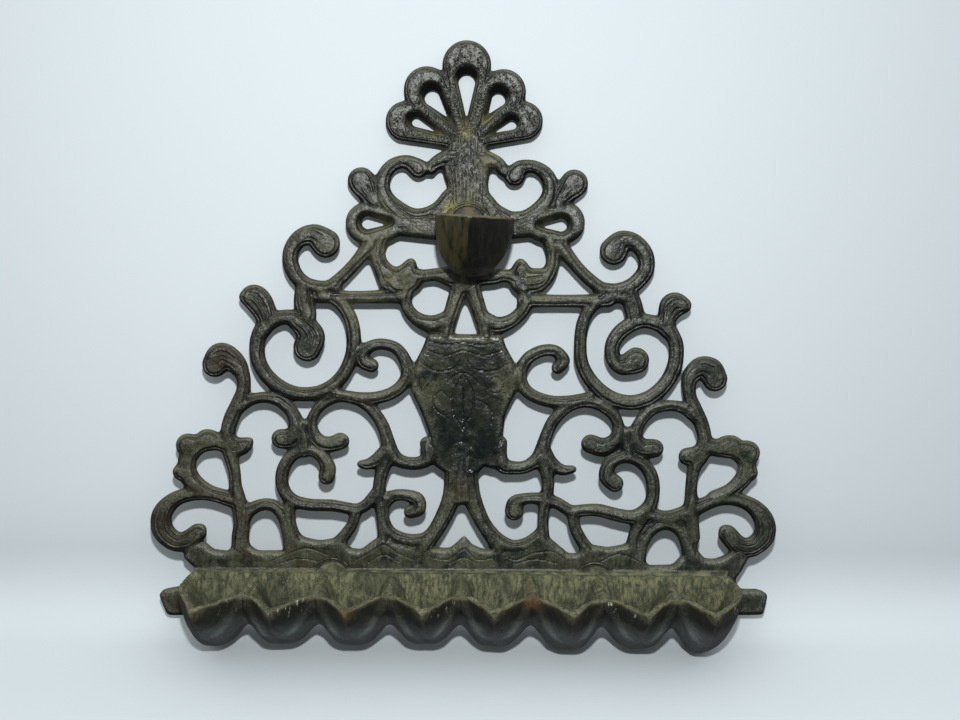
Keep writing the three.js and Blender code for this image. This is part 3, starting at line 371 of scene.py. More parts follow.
# Drop-shaped holes of the petals and eyes, from the point to the round end, and the hollows around them
teardropHoles = [
    [1, 145.4, 0.6, 1, 155.1, 5.2],
    [-5.2, 145.2, 0.6, -9.5, 150.4, 4.9],
    [8.1, 146.3, 0.6, 10.7, 150, 4.4],
    [-9.3, 140.9, 0.9, -14.4, 143.2, 3],
    [10.4, 140.7, 0.9, 15, 142.5, 3],
    [-25.5, 112.1, 1.8, -29.6, 112.2, 4],
    [26.3, 111.7, 1.8, 30.6, 111.8, 4],
]
teardropHollows = [
    [1, 141, 1, 0.9, 156.4, 7.8],
    [-1.6, 140.2, 1, -9.8, 151.2, 7.8],
    [4, 139.4, 1, 10.8, 151, 7.2],
    [-4, 138.2, 1, -15.2, 143.5, 5.6],
    [5, 137.8, 1, 14.8, 143.2, 5.2],
    [-22.5, 112.4, 3, -29.6, 112.1, 7],
    [23.5, 111.8, 3, 30.4, 112, 7],
]

# Corners of the shield and of the rail, as x, z
shieldEdge = [
    -11, 77.6, 12.6, 77.6, 13.6, 74, 16, 69.6, 18, 64, 17.4, 59.6, 14.6, 54, 13.6, 51.6, 13.4, 48, 12.6, 44,
    12.4, 34.6, 9.6, 34.2, 7.2, 35.2, 5.4, 33, -5.4, 33, -8.6, 35, -9.4, 40, -10.6, 46, -13.4, 53.6, -16, 59,
    -16.6, 63, -14.6, 69, -12.2, 74,
]
railEdge = [
    98.2, -13.7, 99.5, -6.8, 96.9, -5.1, 90.6, -5.1, 88.6, -2, 90.6, 1, 92.6, 5, 91, 8, 87.5, 8, 85, 6, 82, 4.9,
    78.6, 5.2, 76, 8, 71, 6, 68.5, 2.9, 60.6, 2.7, 58.6, 5, 55.5, 10, 52.6, 9.6, 47.4, 8.6, 43, 9.4, 39.6, 8.6,
    37, 6.4, 34.6, 6.6, 31, 9.6, 27.6, 12.6, 24, 12.4, 20, 8, 10, 7.6, 7.2, 7.7, 3.4, 9.4, 0.9, 12.6, -1.6, 10,
    -4, 8, -7.6, 8.2, -13, 8, -21, 9.4, -25, 12.6, -28.4, 10.6, -32.4, 7.5, -35.6, 7.7, -38, 10.6, -42, 11,
    -46, 10.3, -50.4, 11.2, -54, 13.4, -57, 6.9, -66.2, 6.8, -69, 9, -74, 8, -75.6, 6.6, -80.4, 7.1, -82.4, 9.2,
    -88, 9, -90, 4.6, -85.4, 0, -90.4, -5.1, -96.4, -6.15, -98.2, -8.1, -95.6, -15,
]

# Where stubs go into the plate
tenonHoles = [[-41.8, -2], [43.2, -3], [1.6, 111.9]]
tenonHoleRadius = 5.85

# Lines cut into the shield, the rail and the neck, as x, z, width triples
engravedLines = [
    [-10.6, 75.4, 0.2, -5, 74.2, 0.4, 0.4, 75, 0.2, 6, 74.2, 0.4, 11.8, 75.4, 0.2],
    [-11, 72.6, 0.2, -5.4, 70.8, 0.4, 0.4, 72.4, 0.2, 6.4, 70.8, 0.4, 12.6, 72.6, 0.2],
    [-13.4, 68.8, 0.2, -8.5, 66, 0.4, -3, 66.6, 0.3, -0.6, 69.4, 0.2],
    [1.6, 69.4, 0.2, 3.8, 66.6, 0.3, 9.6, 66, 0.4, 14.8, 68.6, 0.2],
    [-4.6, 62.4, 0.2, -2.2, 64.6, 0.4, 0.4, 65.4, 0.3, 3, 64.4, 0.4, 5.2, 62, 0.2],
    [0.4, 65, 0.2, -2.6, 59, 0.4, -2.8, 52.6, 0.4, 0.2, 47, 0.2],
    [0.4, 65, 0.2, 3.4, 59, 0.4, 3.2, 52.6, 0.4, 0.2, 47, 0.2],
    [0.4, 60.6, 0.2, 0.2, 50, 0.3],
    [-3.6, 57, 0.2, -6.6, 59.4, 0.4, -9, 57.2, 0.3, -8.4, 53.6, 0.3, -5.4, 51.6, 0.2],
    [8.4, 62.6, 0.2, 10.4, 64, 0.3, 12.6, 63, 0.3, 12.8, 60.4, 0.3, 10.8, 58.8, 0.3, 8.8, 60, 0.3, 8.4, 62.6, 0.2],
    [4.2, 56.8, 0.2, 7, 55.6, 0.4, 9.6, 52.6, 0.3, 9.2, 49, 0.2],
    [-13.6, 62.8, 0.2, -12.6, 59.4, 0.4, -9.8, 62.6, 0.2],
    [-62, 3.4, 0.2, -57, 5.6, 0.4, -50, 8, 0.4, -43, 5.8, 0.2],
    [-59, 2.8, 0.2, -52, 4.6, 0.3, -45, 3.4, 0.2],
    [-34, 4.2, 0.2, -29.6, 6.6, 0.4, -25, 9.4, 0.4, -20.6, 6.6, 0.4, -15, 4.2, 0.2],
    [-30, 3.4, 0.2, -25, 6, 0.3, -20, 3.6, 0.2],
    [-9, 5, 0.2, -4, 4.6, 0.3, 0.8, 8, 0.4, 5, 4.6, 0.3, 10, 5, 0.2],
    [-4, 3.2, 0.2, 0.8, 5.2, 0.3, 5, 3.2, 0.2],
    [14, 5.6, 0.2, 18, 4.6, 0.4, 23, 6.8, 0.4, 29, 7.4, 0.4, 34, 4.6, 0.2],
    [17, 3.2, 0.2, 24, 4.8, 0.3, 31, 3.4, 0.2],
    [44, 3.6, 0.2, 50, 6.6, 0.4, 56, 5, 0.4, 61, 1.8, 0.2],
    [1.3, 133.4, 0.2, -1.6, 130, 0.4, -5.4, 129.8, 0.4, -7.8, 131, 0.2],
    [1.3, 133.4, 0.2, 4.2, 129.8, 0.4, 8, 129.4, 0.4, 10.6, 130.6, 0.2],
    [1.3, 136, 0.2, -1.8, 133.4, 0.3, -5, 133.2, 0.2],
    [1.3, 136, 0.2, 4.6, 133.2, 0.3, 8, 132.6, 0.2],
]

# Where dust has settled and where burnt oil has run, as x, z, radius and strength
dustPatches = [
    [-24, 97, 20, 0.68], [22, 95, 17, 0.55], [-32, 88, 12, 0.7], [0, 86, 12, 0.5], [1, 116, 7, 0.8],
    [1, 141, 4.5, 1.0], [7.4, 143.5, 4, 1.0], [-8.5, 139.5, 4, 0.95], [8.5, 132, 4, 0.95], [-3.5, 116.5, 5, 1.0],
    [-26, 112.5, 5, 0.95], [27, 112, 5, 0.9], [-18, 60, 12, 0.5],
    [20, 62, 10, 0.4], [-60, 4, 30, 0.25], [0, 3, 40, 0.3], [60, 3, 30, 0.25], [-80, 40, 14, 0.4],
    [86, 36, 14, 0.35], [52, 62, 12, 0.3], [-40, 44, 16, 0.35], [12, 62, 4, 0.5],
]
residuePatches = [[4, 40, 8, 1.0], [11, 42, 5, 1.0], [-1, 46, 7, 0.6], [13, 34, 4, 0.9], [3, 33, 5, 0.7]]


def patches(x, z, spots):
    # Strongest of a set of round patches that fade with the square of the distance as a bell curve does
    total = np.zeros(x.shape)
    for px, pz, radius, strength in spots:
        total = np.maximum(total, strength * np.exp(-((x - px) ** 2 + (z - pz) ** 2) / radius ** 2))
    return total


def softened(field, times):
    # Spreads each value over its neighbours with weights 1 4 6 4 1 along both directions
    for _ in range(times):
        for axis in (0, 1):
            wide = np.pad(field, [(2, 2) if a == axis else (0, 0) for a in (0, 1)], mode="edge")
            part = [np.take(wide, range(i, i + field.shape[axis]), axis=axis) for i in range(5)]
            field = (part[0] + part[4] + 4 * (part[1] + part[3]) + 6 * part[2]) / 16
    return field


class PlateGrid:
    # Fields on a square grid over the plate. Each form adds its distance to the nearest edge,
    # counted positive inside, and raises the height to its own section
    broad = 6.0    # half width for forms that are broader than any bar

    def __init__(self):
        self.step = plate["grid"]
        self.x = np.arange(*plate["across"], self.step)
        self.z = np.arange(*plate["upright"], self.step)
        size = (len(self.z), len(self.x))
        self.inside = np.full(size, -4.0)
        self.height = np.full(size, plate["wallHeight"])
        self.engraved = np.full(size, 3.0)
        kinds = ("across", "offset", "along", "toEnd", "reeded", "hatched", "brushed", "panel")
        self.marks = {key: np.zeros(size) for key in kinds}
        self.sunk = np.zeros(size)

    def window(self, points, reach):
        # Rows and columns of the grid within reach of the points
        x0, z0 = points[:, 0].min() - reach, points[:, 1].min() - reach
        x1, z1 = points[:, 0].max() + reach, points[:, 1].max() + reach
        columns = slice(*np.searchsorted(self.x, [x0, x1]))
        rows = slice(*np.searchsorted(self.z, [z0, z1]))
        return rows, columns

    def nearest(self, numbers, reach, window=None):
        # For each grid point near the path: how far inside the tapering bar it lies, the bar's half width
        # there, how far beside the middle line it is, how far along it and how far from its nearer end
        path = smoothPath(numbers)
        rows, columns = window or self.window(path, path[:, 2].max() / 2 + reach)
        px = self.x[None, columns, None]
        pz = self.z[rows, None, None]
        a, b = path[:-1], path[1:]
        dx, dz = b[:, 0] - a[:, 0], b[:, 1] - a[:, 1]
        length = np.hypot(dx, dz)
        t = np.clip(((px - a[:, 0]) * dx + (pz - a[:, 1]) * dz) / length ** 2, 0, 1)
        ox, oz = px - a[:, 0] - t * dx, pz - a[:, 1] - t * dz
        half = (a[:, 2] + t * (b[:, 2] - a[:, 2])) / 2
        distance = np.hypot(ox, oz)
        best = np.argmax(half - distance, axis=2)[..., None]
        pick = lambda field: np.take_along_axis(field, best, axis=2)[..., 0]
        along = pick(np.cumsum(length) - length + t * length)
        toEnd = np.minimum(along, length.sum() - along)
        offset = pick((dx * oz - dz * ox) / length)
        return rows, columns, pick(half - distance), pick(half), {"offset": offset, "along": along, "toEnd": toEnd}

    def section(self, inside, half, top):
        # Straight side, then a quarter wave up to the flat front
        flank = np.minimum(plate["flankWidth"], 0.5 * half)
        rise = np.sin(np.clip(inside / flank, 0, 1) * np.pi / 2)
        return plate["wallHeight"] + (top - plate["wallHeight"]) * rise

    def raiseTo(self, rows, columns, height, inside, marks):
        # Where the form is the highest so far, its height and marks win. Distances keep the larger value.
        wins = (height > self.height[rows, columns] + 1e-6) & (inside > 0)
        self.height[rows, columns] = np.where(wins, height, self.height[rows, columns])
        for key, field in self.marks.items():
            field[rows, columns] = np.where(wins, marks.get(key, 0.0), field[rows, columns])
        self.inside[rows, columns] = np.maximum(self.inside[rows, columns], inside)

    def addBar(self, numbers, top, **marks):
        # The height falls from the middle line to the edge with the square of the share of the half width
        rows, columns, inside, half, places = self.nearest(numbers, 4)
        across = places["offset"] / half
        height = self.section(inside, half, top) - plate["crown"] * np.clip(across, -1, 1) ** 2
        self.raiseTo(rows, columns, height, inside, {"across": across, **places, **marks})

    def addOutline(self, numbers, top, **marks):
        # Distance to the outline's nearest stretch, inside where a line to the right crosses it
        # an odd number of times
        edge = np.array(numbers, float).reshape(-1, 2)
        rows, columns = self.window(edge, 4)
        px = self.x[None, columns, None]
        pz = self.z[rows, None, None]
        a, b = edge, np.roll(edge, -1, axis=0)
        dx, dz = b[:, 0] - a[:, 0], b[:, 1] - a[:, 1]
        t = np.clip(((px - a[:, 0]) * dx + (pz - a[:, 1]) * dz) / (dx ** 2 + dz ** 2), 0, 1)
        distance = np.hypot(px - a[:, 0] - t * dx, pz - a[:, 1] - t * dz).min(axis=2)
        crossing = dx * (pz - a[:, 1]) / np.where(dz == 0, 1, dz) + a[:, 0]
        crosses = ((a[:, 1] > pz) != (b[:, 1] > pz)) & (px < crossing)
        inside = np.where(crosses.sum(axis=2) % 2 == 1, distance, -distance)
        self.raiseTo(rows, columns, self.section(inside, self.broad, top), inside, {"across": 1.0, **marks})

    def melt(self):
        # Fills the corners between forms, then blends each form's own height with that of the whole
        self.inside = softened(self.inside, 2)
        whole = self.section(self.inside, self.broad, plate["thickness"] - plate["railDepth"])
        self.height = self.height + plate["merge"] * (whole - self.height)

    def funnel(self, wide, narrow):
        # From the hollow's edge at the front the height falls toward the hole's edge, by the share of the way
        rows, columns, inHollow, *_ = self.nearest(wide, 2)
        inHole = self.nearest(narrow, 2, (rows, columns))[2]
        share = np.clip(inHollow / (np.abs(inHollow) + np.maximum(-inHole, 0) + 0.01), 0, 1)
        here = self.height[rows, columns]
        self.height[rows, columns] = here - (here - plate["lip"]) * share ** 0.8
        self.sunk[rows, columns] = np.maximum(self.sunk[rows, columns], share)
        self.inside[rows, columns] = np.minimum(self.inside[rows, columns], -inHole)

    def cutDisc(self, x, z, radius):
        # A round hole lowers the distance field to the distance from its edge
        xs, zs = np.meshgrid(self.x, self.z)
        self.inside = np.minimum(self.inside, np.hypot(xs - x, zs - z) - radius)

    def engrave(self, numbers):
        # Distance from the edge of the nearest engraved line, negative inside it
        rows, columns, inside, *_ = self.nearest(numbers, 3)
        self.engraved[rows, columns] = np.minimum(self.engraved[rows, columns], -inside)


def contourMesh(grid, fields):
    # Marching squares: each grid cell keeps the part where the field is positive, and new points stand where
    # the field passes through zero. Returns points, faces, border edges and the fields at the points.
    f = grid.inside
    f = np.where(np.abs(f) < 0.06 * grid.step, 0.06 * grid.step * np.where(f < 0, -1, 1), f)
    rows, columns = f.shape
    xs, zs = np.meshgrid(grid.x, grid.z)
    stack = np.stack([xs, zs, *fields], axis=-1)
    solid = f > 0
    crossX = solid[:, 1:] != solid[:, :-1]
    crossZ = solid[1:, :] != solid[:-1, :]
    tX = (f[:, :-1] / np.where(crossX, f[:, :-1] - f[:, 1:], 1))[..., None]
    tZ = (f[:-1, :] / np.where(crossZ, f[:-1, :] - f[1:, :], 1))[..., None]
    pointsX = (stack[:, :-1] * (1 - tX) + stack[:, 1:] * tX)[crossX]
    pointsZ = (stack[:-1] * (1 - tZ) + stack[1:] * tZ)[crossZ]
    node = np.full(f.shape, -1)
    node[solid] = np.arange(solid.sum())
    edgeX = np.full(crossX.shape, -1)
    edgeX[crossX] = solid.sum() + np.arange(crossX.sum())
    edgeZ = np.full(crossZ.shape, -1)
    edgeZ[crossZ] = solid.sum() + crossX.sum() + np.arange(crossZ.sum())
    table = np.concatenate([stack[solid], pointsX, pointsZ])
    ring = [node[:-1, :-1], edgeX[:-1], node[:-1, 1:], edgeZ[:, 1:], node[1:, 1:], edgeX[1:], node[1:, :-1],
            edgeZ[:, :-1]]
    case = solid[:-1, :-1] * 1 + solid[:-1, 1:] * 2 + solid[1:, 1:] * 4 + solid[1:, :-1] * 8
    faces, border = [], []
    for kind in range(1, 16):
        corner = [bool(kind & (1 << i)) for i in range(4)]
        tokens = []
        for i in range(4):
            if corner[i]:
                tokens.append(2 * i)
            if corner[i] != corner[(i + 1) % 4]:
                tokens.append(2 * i + 1)
        where = case == kind
        ids = np.stack([ring[t][where] for t in tokens], axis=1)
        faces.append(ids)
        for i, t in enumerate(tokens):
            following = tokens[(i + 1) % len(tokens)]
            if t % 2 and following % 2:
                border.append(ids[:, [i, (i + 1) % len(tokens)]])
    return table, faces, np.concatenate(border), solid.sum()


def layForms():
    # All bars, the shield and the rail on one grid, with their holes and engraved lines
    grid = PlateGrid()
    for number, (name, numbers) in enumerate({**centreBars, **leftBars, **rightBars}.items()):
        top = plate["thickness"] - plate["step"] * (number * 5 % 4)
        plain, petal = plainForms.get(name, 0.0), float(name.startswith("petal"))
        grid.addBar(numbers, top, reeded=float(plain + petal == 0), hatched=petal, brushed=plain)
    grid.addOutline(shieldEdge, plate["thickness"] - plate["shieldDepth"], panel=1.0)
    grid.addOutline(railEdge, plate["thickness"] - plate["railDepth"], brushed=0.4)
    grid.melt()
    for wide, narrow in zip(teardropHollows, teardropHoles):
        grid.funnel(wide, narrow)
    turn = np.radians(np.linspace(35, 145, 7))
    reach = tenonHoleRadius + plate["seam"] / 3
    for x, z in tenonHoles:
        grid.cutDisc(x, z, tenonHoleRadius)
        grid.engrave(np.stack([x + reach * np.cos(turn), z + reach * np.sin(turn), turn * 0 + plate["seam"]], axis=1))
    for numbers in engravedLines:
        grid.engrave(numbers)
    return grid


def makePlate():
    # The grid's height with waves and lumps, kept where the distance field is positive, and sides that go down
    # with a draft to a flat wall face
    grid = layForms()
    xs, zs = np.meshgrid(grid.x, grid.z)
    residue = patches(xs, zs, residuePatches)
    uneven = plate["unevenness"] * (waves(xs, zs, 6, 11) + 0.7 * waves(xs, zs, 2.4, 12) - 1.4)
    lumps = plate["lumps"] * residue * np.maximum(waves(xs, zs, 3, 13), 0)
    height = np.clip(softened(grid.height + uneven + lumps, 1), 0.8, plate["thickness"])
    railPart = smoothstep(-zs, -plate["railFlat"] - 0.4, -plate["railFlat"]) * (np.abs(xs) < 86) * (zs < 3)
    height = height * (1 - railPart) + (plate["thickness"] - 0.05) * railPart
    fields = {
        **grid.marks, "inward": np.maximum(grid.inside, 0), "engraved": grid.engraved, "sunk": grid.sunk,
        "cavity": np.clip((softened(height, 10) - height) / 0.8, -1, 1), "residue": residue,
        "dusty": patches(xs, zs, dustPatches), "warm": np.clip(0.6 * waves(xs, zs, 25, 14) - xs / 110, 0, 1),
    }
    # The wall face's outline is drawn in along the slope of the distance field
    slopeZ, slopeX = np.gradient(softened(grid.inside, 1), grid.step)
    steepness = np.maximum(np.hypot(slopeX, slopeZ), 0.3) / plate["draft"]
    stack = [height, slopeX / steepness, slopeZ / steepness, *fields.values()]
    table, faces, border, nodes = contourMesh(grid, stack)
    front = np.stack([table[:, 0], -table[:, 2], table[:, 1]], axis=1)
    rim = np.arange(nodes, len(table))
    back = front[rim] + table[rim][:, [3, 3, 4]] * [1, 0, 1]
    back[:, 1] = 0.0
    toBack = lambda ids: ids - nodes + len(table)
    walls = np.stack([border[:, 1], border[:, 0], toBack(border[:, 0]), toBack(border[:, 1])], axis=1)
    points = np.vstack([front, back])
    backFaces = fillBack(back, toBack(border) - len(table)) + len(table)
    columns = np.vstack([table[:, 5:], table[rim][:, 5:]])
    return buildMesh("backPlate", points, [*faces, walls, backFaces], dict(zip(fields, columns.T)), sharp=58)


def fillBack(rim, edges):
    # Flat triangles between the border loops at the wall face, all turned to face the wall
    sheet = bmesh.new()
    corners = [sheet.verts.new(p) for p in rim.tolist()]
    for a, b in edges.tolist():
        sheet.edges.new((corners[a], corners[b]))
    bmesh.ops.triangle_fill(sheet, edges=sheet.edges[:], use_beauty=False, use_dissolve=False,
                            normal=(0.0, 1.0, 0.0))
    sheet.verts.index_update()
    triangles = np.array([[v.index for v in face.verts] for face in sheet.faces])
    sheet.free()
    a, b, c = rim[triangles[:, 0]], rim[triangles[:, 1]], rim[triangles[:, 2]]
    turned = np.cross(b - a, c - a)[:, 1] < 0
    triangles[turned] = triangles[turned][:, ::-1]
    return triangles


backPlate = makePlate()
print("back plate:", len(backPlate.data.polygons), "faces")


pans = {
    "count": 8,
    "pitch": 22.0,
    "front": 4.5,                  # the plate's front face
    "from": 2.2,                   # the strip's thickness, where the pans start
    "reach": 35.0,                 # from the plate to the spouts' tips
    "saddle": 23.0,                # and to where two pans part
    "leanFrom": 23.0,              # where the spouts start to follow the keels' lean
    "depth": 20.7,
    "wall": 1.7,
    "floor": 2.4,
    "back": 2.0,                   # thickness of the wall toward the strip
    "edge": (14.6, 23.4, 0.6),     # underside where two pans meet: its depth at the strip, length and roundness
    "wave": 1.75,                  # how much broader the keels are than the arches between them
    "fullness": 1.1,               # 1 for an oval outside, more for a keel
    "trough": 1.75,                # how much a well narrows downward, 1 for an oval and 2 for a straight V
    "rim": (1.2, 0.2, -0.7),       # height at the strip, at a saddle and at a tip
    "wear": 0.2,                   # size of the rims' waves
    "dents": 0.2,                  # and of the walls'
    "soft": 0.55,                  # how far the outer edge of a free rim is rounded down
    "sag": 0.6,                    # how much lower the right-hand rims sit
    "level": 0.0,                  # height of the whole row
    "lean": [-1.8, -1.2, -0.7, 0.1, -0.7, 0.6, 0.8, -1.4],    # each keel's step to the side
    "drop": [1.1, 0.1, 0.4, 0.0, 0.6, 1.1, 0.5, 1.7],         # and how much deeper it is
    "endHalf": (8.2, 10.3),        # half widths of the row's two free sides, at the strip and at most
}
servant = {
    "tenon": (1.6, 111.9),
    "tenonRadius": 5.5,
    "offset": 2.1,                 # from the tenon's middle to the pan's
    "rimAbove": 3.1,               # height of the rim over the tenon's middle
    "roll": 3.2,                   # degrees that it hangs down on the right
    "lean": -1.4,
    "half": (9.6, 11.9),           # half widths at the plate and at most
    "from": 0.0,
    "reach": 35.0,
    "depth": 19.0,
    "back": 3.0,
    "fullness": 0.88,
    "trough": 1.1,
    "rim": (0.0, 0.0, 0.0),
    "wear": 0.05,
    "sag": 0.0,
}

# Dark spots in the wells and rusty ones on the rims, as x, distance from the plate, radius and strength
wellSpots = [[-59.5, 9, 3.4, 1.0], [-27, 12, 2.4, 0.7], [3.5, 8, 2.6, 0.7], [38, 10, 2.6, 0.6], [71, 9, 3, 0.6]]
rustSpots = [[22, 22.5, 3.2, 1.0], [-33, 33, 2.4, 0.9], [46, 33.5, 2.6, 0.8], [69, 33.5, 2.8, 1.0], [-80, 31, 3, 0.5]]

# Shares of a length and the shares of a width or depth there: half width from the saddle to the tip, a free side's
# swelling out and drawing in, and the keel's depth
spoutCurve = ([0, 0.03, 0.12, 0.29, 0.48, 0.68, 0.86, 1], [1, 0.84, 0.7, 0.54, 0.4, 0.26, 0.14, 0.06])
swellCurve = ([0, 0.12, 0.26, 0.4], [0, 0.58, 0.92, 1])
freeCurve = ([0.4, 0.52, 0.64, 0.76, 0.88, 1], [1, 0.93, 0.76, 0.53, 0.26, 0.05])
keelCurve = ([0, 0.2, 0.35, 0.5, 0.64, 0.78, 0.89, 1], [1, 1, 0.95, 0.83, 0.67, 0.46, 0.27, 0.1])


def sharedSide(out):
    # Half width of a pan toward its neighbour: half the pitch up to the saddle, then drawn in to the tip
    share = (out - pans["saddle"]) / (pans["reach"] - pans["saddle"])
    return pans["pitch"] / 2 * np.where(share <= 0, 1, np.interp(share, *spoutCurve))


def freeSide(halves, reach):
    # Half width of a side that stands free: from the first to the second half width, then drawn in to the tip
    def side(out):
        share = out / reach
        return np.where(share < 0.4, halves[0] + (halves[1] - halves[0]) * np.interp(share, *swellCurve),
                        halves[1] * np.interp(share, *freeCurve))
    return side


def panSections(shape, out, wall, floor, turns):
    # Sections of a pan's well at distances out from the plate. Half widths come from the two sides, and each
    # section is an oval between them whose powered sine and cosine make it fuller or more like a keel.
    bow = smoothstep(out, 0.4 * shape["reach"], 0.85 * shape["reach"])[:, None]
    depth = (shape["depth"] - floor) * np.interp(out / shape["reach"], *keelCurve)
    depth = np.maximum(depth, 0.9 if wall else 2.0)[:, None]
    lean = (shape["lean"] * smoothstep(out, 0, 0.4 * shape["reach"]))[:, None]
    leaning = lean * smoothstep(out, shape["leanFrom"], shape["reach"])[:, None]
    angle = np.linspace(0, np.pi, turns)[None, :]
    right = np.cos(angle) > 0
    halves = [np.maximum(side(out + wall) - wall, 0.45 if wall else 0.9)[:, None] for side in shape["sides"]]
    half = np.where(right, halves[1], halves[0])
    power = (shape["trough"] if wall else shape["fullness"]) * (1 - bow) + 1.25 * bow
    across = np.sign(np.cos(angle)) * np.abs(np.cos(angle)) ** power
    if wall:
        return leaning + half * across, -depth * np.sin(angle) ** power
    # Outside, the keel leans away from the middle. A side that another pan meets follows a cosine wave from the
    # keel up to an edge line that both pans share, and turns into an oval past the saddle.
    reach = np.where(right, leaning + half - lean, lean - leaning + half)
    beside = np.abs(across)
    joined = np.where(right, not shape["rounded"][1], not shape["rounded"][0])
    oval = 1 - joined * (1 - smoothstep(out, shape["saddle"] - 5, shape["saddle"] + 6))[:, None]
    start, length, bend = shape["edge"]
    edge = joined * (start * np.maximum(1 - (out / length) ** 3, 0) ** bend)[:, None]
    share = oval * np.sin(angle) ** power + (1 - oval) * (1 + np.cos(np.pi * beside ** shape["wave"])) / 2
    z = -edge - (depth - edge) * share
    z[:, [0, -1]] = 0
    return lean + np.sign(np.cos(angle)) * reach * beside, z


def panShell(shape, seed):
    # Closed loft along the distance from the plate. Each ring runs down round the outside, over the left rim,
    # back through the well and over the right rim, and the rings at both ends are capped.
    turns = 45
    reach, back = shape["reach"], shape["from"] + shape["back"]
    out = np.unique(np.concatenate([
        [shape["from"], shape["from"] + 0.4, back - 0.4, back, back + 0.3, back + 0.9],
        np.linspace(back + 1.6, shape["saddle"] - 0.9, 18), shape["saddle"] + np.array([-0.4, 0, 0.2, 0.4, 0.8, 1.3]),
        np.linspace(shape["saddle"] + 1.9, reach - 0.9, 24), [reach - 0.4, reach],
    ]))
    rim = np.interp(out, [0, shape["saddle"], reach], shape["rim"])[:, None]
    outerX, outerZ = panSections(shape, out, 0, 0, turns)
    innerX, innerZ = panSections(shape, out, shape["wall"], shape["floor"], turns)
    well = (smoothstep(out, back - 0.3, back + 0.6) * (1 - smoothstep(out, reach - 7, reach - 2.6)))[:, None]
    innerX, innerZ = innerX[:, ::-1], (innerZ * well)[:, ::-1]
    shrink = np.where(out >= reach, 0.6, 1.0)[:, None]
    middle = (outerX[:, :1] + outerX[:, -1:]) / 2
    outerX = middle + (outerX - middle) * shrink
    outerZ = outerZ * shrink - (1 - shrink) * 0.6
    # Free rims are rounded on their outer edge, and joined ones meet their neighbours' square
    parted = smoothstep(out, shape["saddle"], shape["saddle"] + 1.5)[:, None]
    soft = [shape["soft"] * np.maximum(float(free), parted) for free in shape["rounded"]]
    right, left = slice(turns // 2), slice(turns // 2, None)
    outerZ[:, right] = np.minimum(outerZ[:, right], -soft[1])
    outerZ[:, left] = np.minimum(outerZ[:, left], -soft[0])
    innerZ = np.minimum(innerZ, -1.3 * well)
    shares = np.array([[0.12, 0.45, 0.8]])
    leftRim = outerX[:, -1:] * (1 - shares) + innerX[:, :1] * shares
    rightRim = innerX[:, -1:] * shares[:, ::-1] + outerX[:, :1] * (1 - shares[:, ::-1])
    drop = -well * np.array([[0.0, 0.15, 0.6]])
    leftDrop, rightDrop = (drop - each * np.array([[0.25, 0, 0]]) for each in soft)
    x = np.concatenate([outerX, leftRim, innerX, rightRim], axis=1)
    below = -np.concatenate([outerZ, leftDrop, innerZ, rightDrop[:, ::-1]], axis=1)
    away = np.broadcast_to(out[:, None], x.shape)
    place = x + shape["centre"]
    # Waves on rims and walls, none where the pan meets the strip
    clear = smoothstep(away, shape["from"], shape["from"] + 3)
    worn = shape["wear"] * (waves(place, away, 7, 70) + 0.6 * waves(place, away, 3, 71)) * np.exp(-below / 2.5)
    dent = shape["dents"] * waves(place + away * 0.7, below + away * 0.5, 6, seed) * smoothstep(below, 0.8, 4)
    z = rim - below + (worn + dent) * clear - shape["sag"] * smoothstep(place, 0, 55)
    kinds = np.concatenate([np.zeros(turns), [0.5, 0.8, 1.0], np.ones(turns), [1.0, 0.8, 0.5]])
    count, size = x.shape
    points = np.stack([place, -shape["front"] - away, z + shape["level"]], axis=-1).reshape(-1, 3)
    i = np.arange(count - 1)[:, None] * size
    j = np.arange(size)[None, :]
    k = (j + 1) % size
    quads = np.stack([i + j, i + size + j, i + size + k, i + k], axis=-1).reshape(-1, 4)
    caps = [np.array([np.arange(size)]), np.array([np.arange(size)[::-1] + (count - 1) * size])]
    return points, [quads, *caps], {
        "inner": np.broadcast_to(kinds, x.shape), "out": away, "below": below,
        "spots": patches(place, away, wellSpots), "rust": patches(place, away, rustSpots)}


def panShape(index):
    # One pan of the row, with its own lean and depth and a free side only at the row's ends
    endSide = freeSide(pans["endHalf"], pans["reach"])
    ends = (index == 0, index == pans["count"] - 1)
    return {**pans, "depth": pans["depth"] + pans["drop"][index], "lean": pans["lean"][index],
            "sides": [endSide if end else sharedSide for end in ends], "rounded": ends,
            "centre": (index - (pans["count"] - 1) / 2) * pans["pitch"]}


def rolled(points, centre, degrees):
    # Turns points in the XZ plane about a centre, right side down for positive degrees
    angle = math.radians(degrees)
    x, z = points[:, 0] - centre[0], points[:, 2] - centre[1]
    return np.stack([centre[0] + x * math.cos(angle) + z * math.sin(angle), points[:, 1],
                     centre[1] - x * math.sin(angle) + z * math.cos(angle)], axis=1)


def discGrid(x, z, radius, back, front, turns=48):
    # Short cylinder along Y with a softened front edge: rings from the back to the front, capped at both ends
    rings = [(back, radius), (front + 0.4, radius), (front + 0.1, radius - 0.15), (front, radius - 0.5)]
    angle = np.linspace(0, 2 * np.pi, turns, endpoint=False)
    points = np.concatenate([np.stack([x + r * np.cos(angle), np.full(turns, y), z + r * np.sin(angle)], axis=1)
                             for y, r in rings])
    i = np.arange(len(rings) - 1)[:, None] * turns
    j = np.arange(turns)[None, :]
    k = (j + 1) % turns
    quads = np.stack([i + j, i + k, i + turns + k, i + turns + j], axis=-1).reshape(-1, 4)[:, ::-1]
    last = (len(rings) - 1) * turns
    return points, [quads, np.array([np.arange(turns)[::-1]]), np.array([np.arange(turns) + last])]


oilPans = []
for index in range(pans["count"]):
    points, faces, attributes = panShell(panShape(index), 40)
    oilPans.append(buildMesh(f"oilPan{index + 1}", points, faces, attributes, sharp=50))
print("oil pans:", len(oilPans))

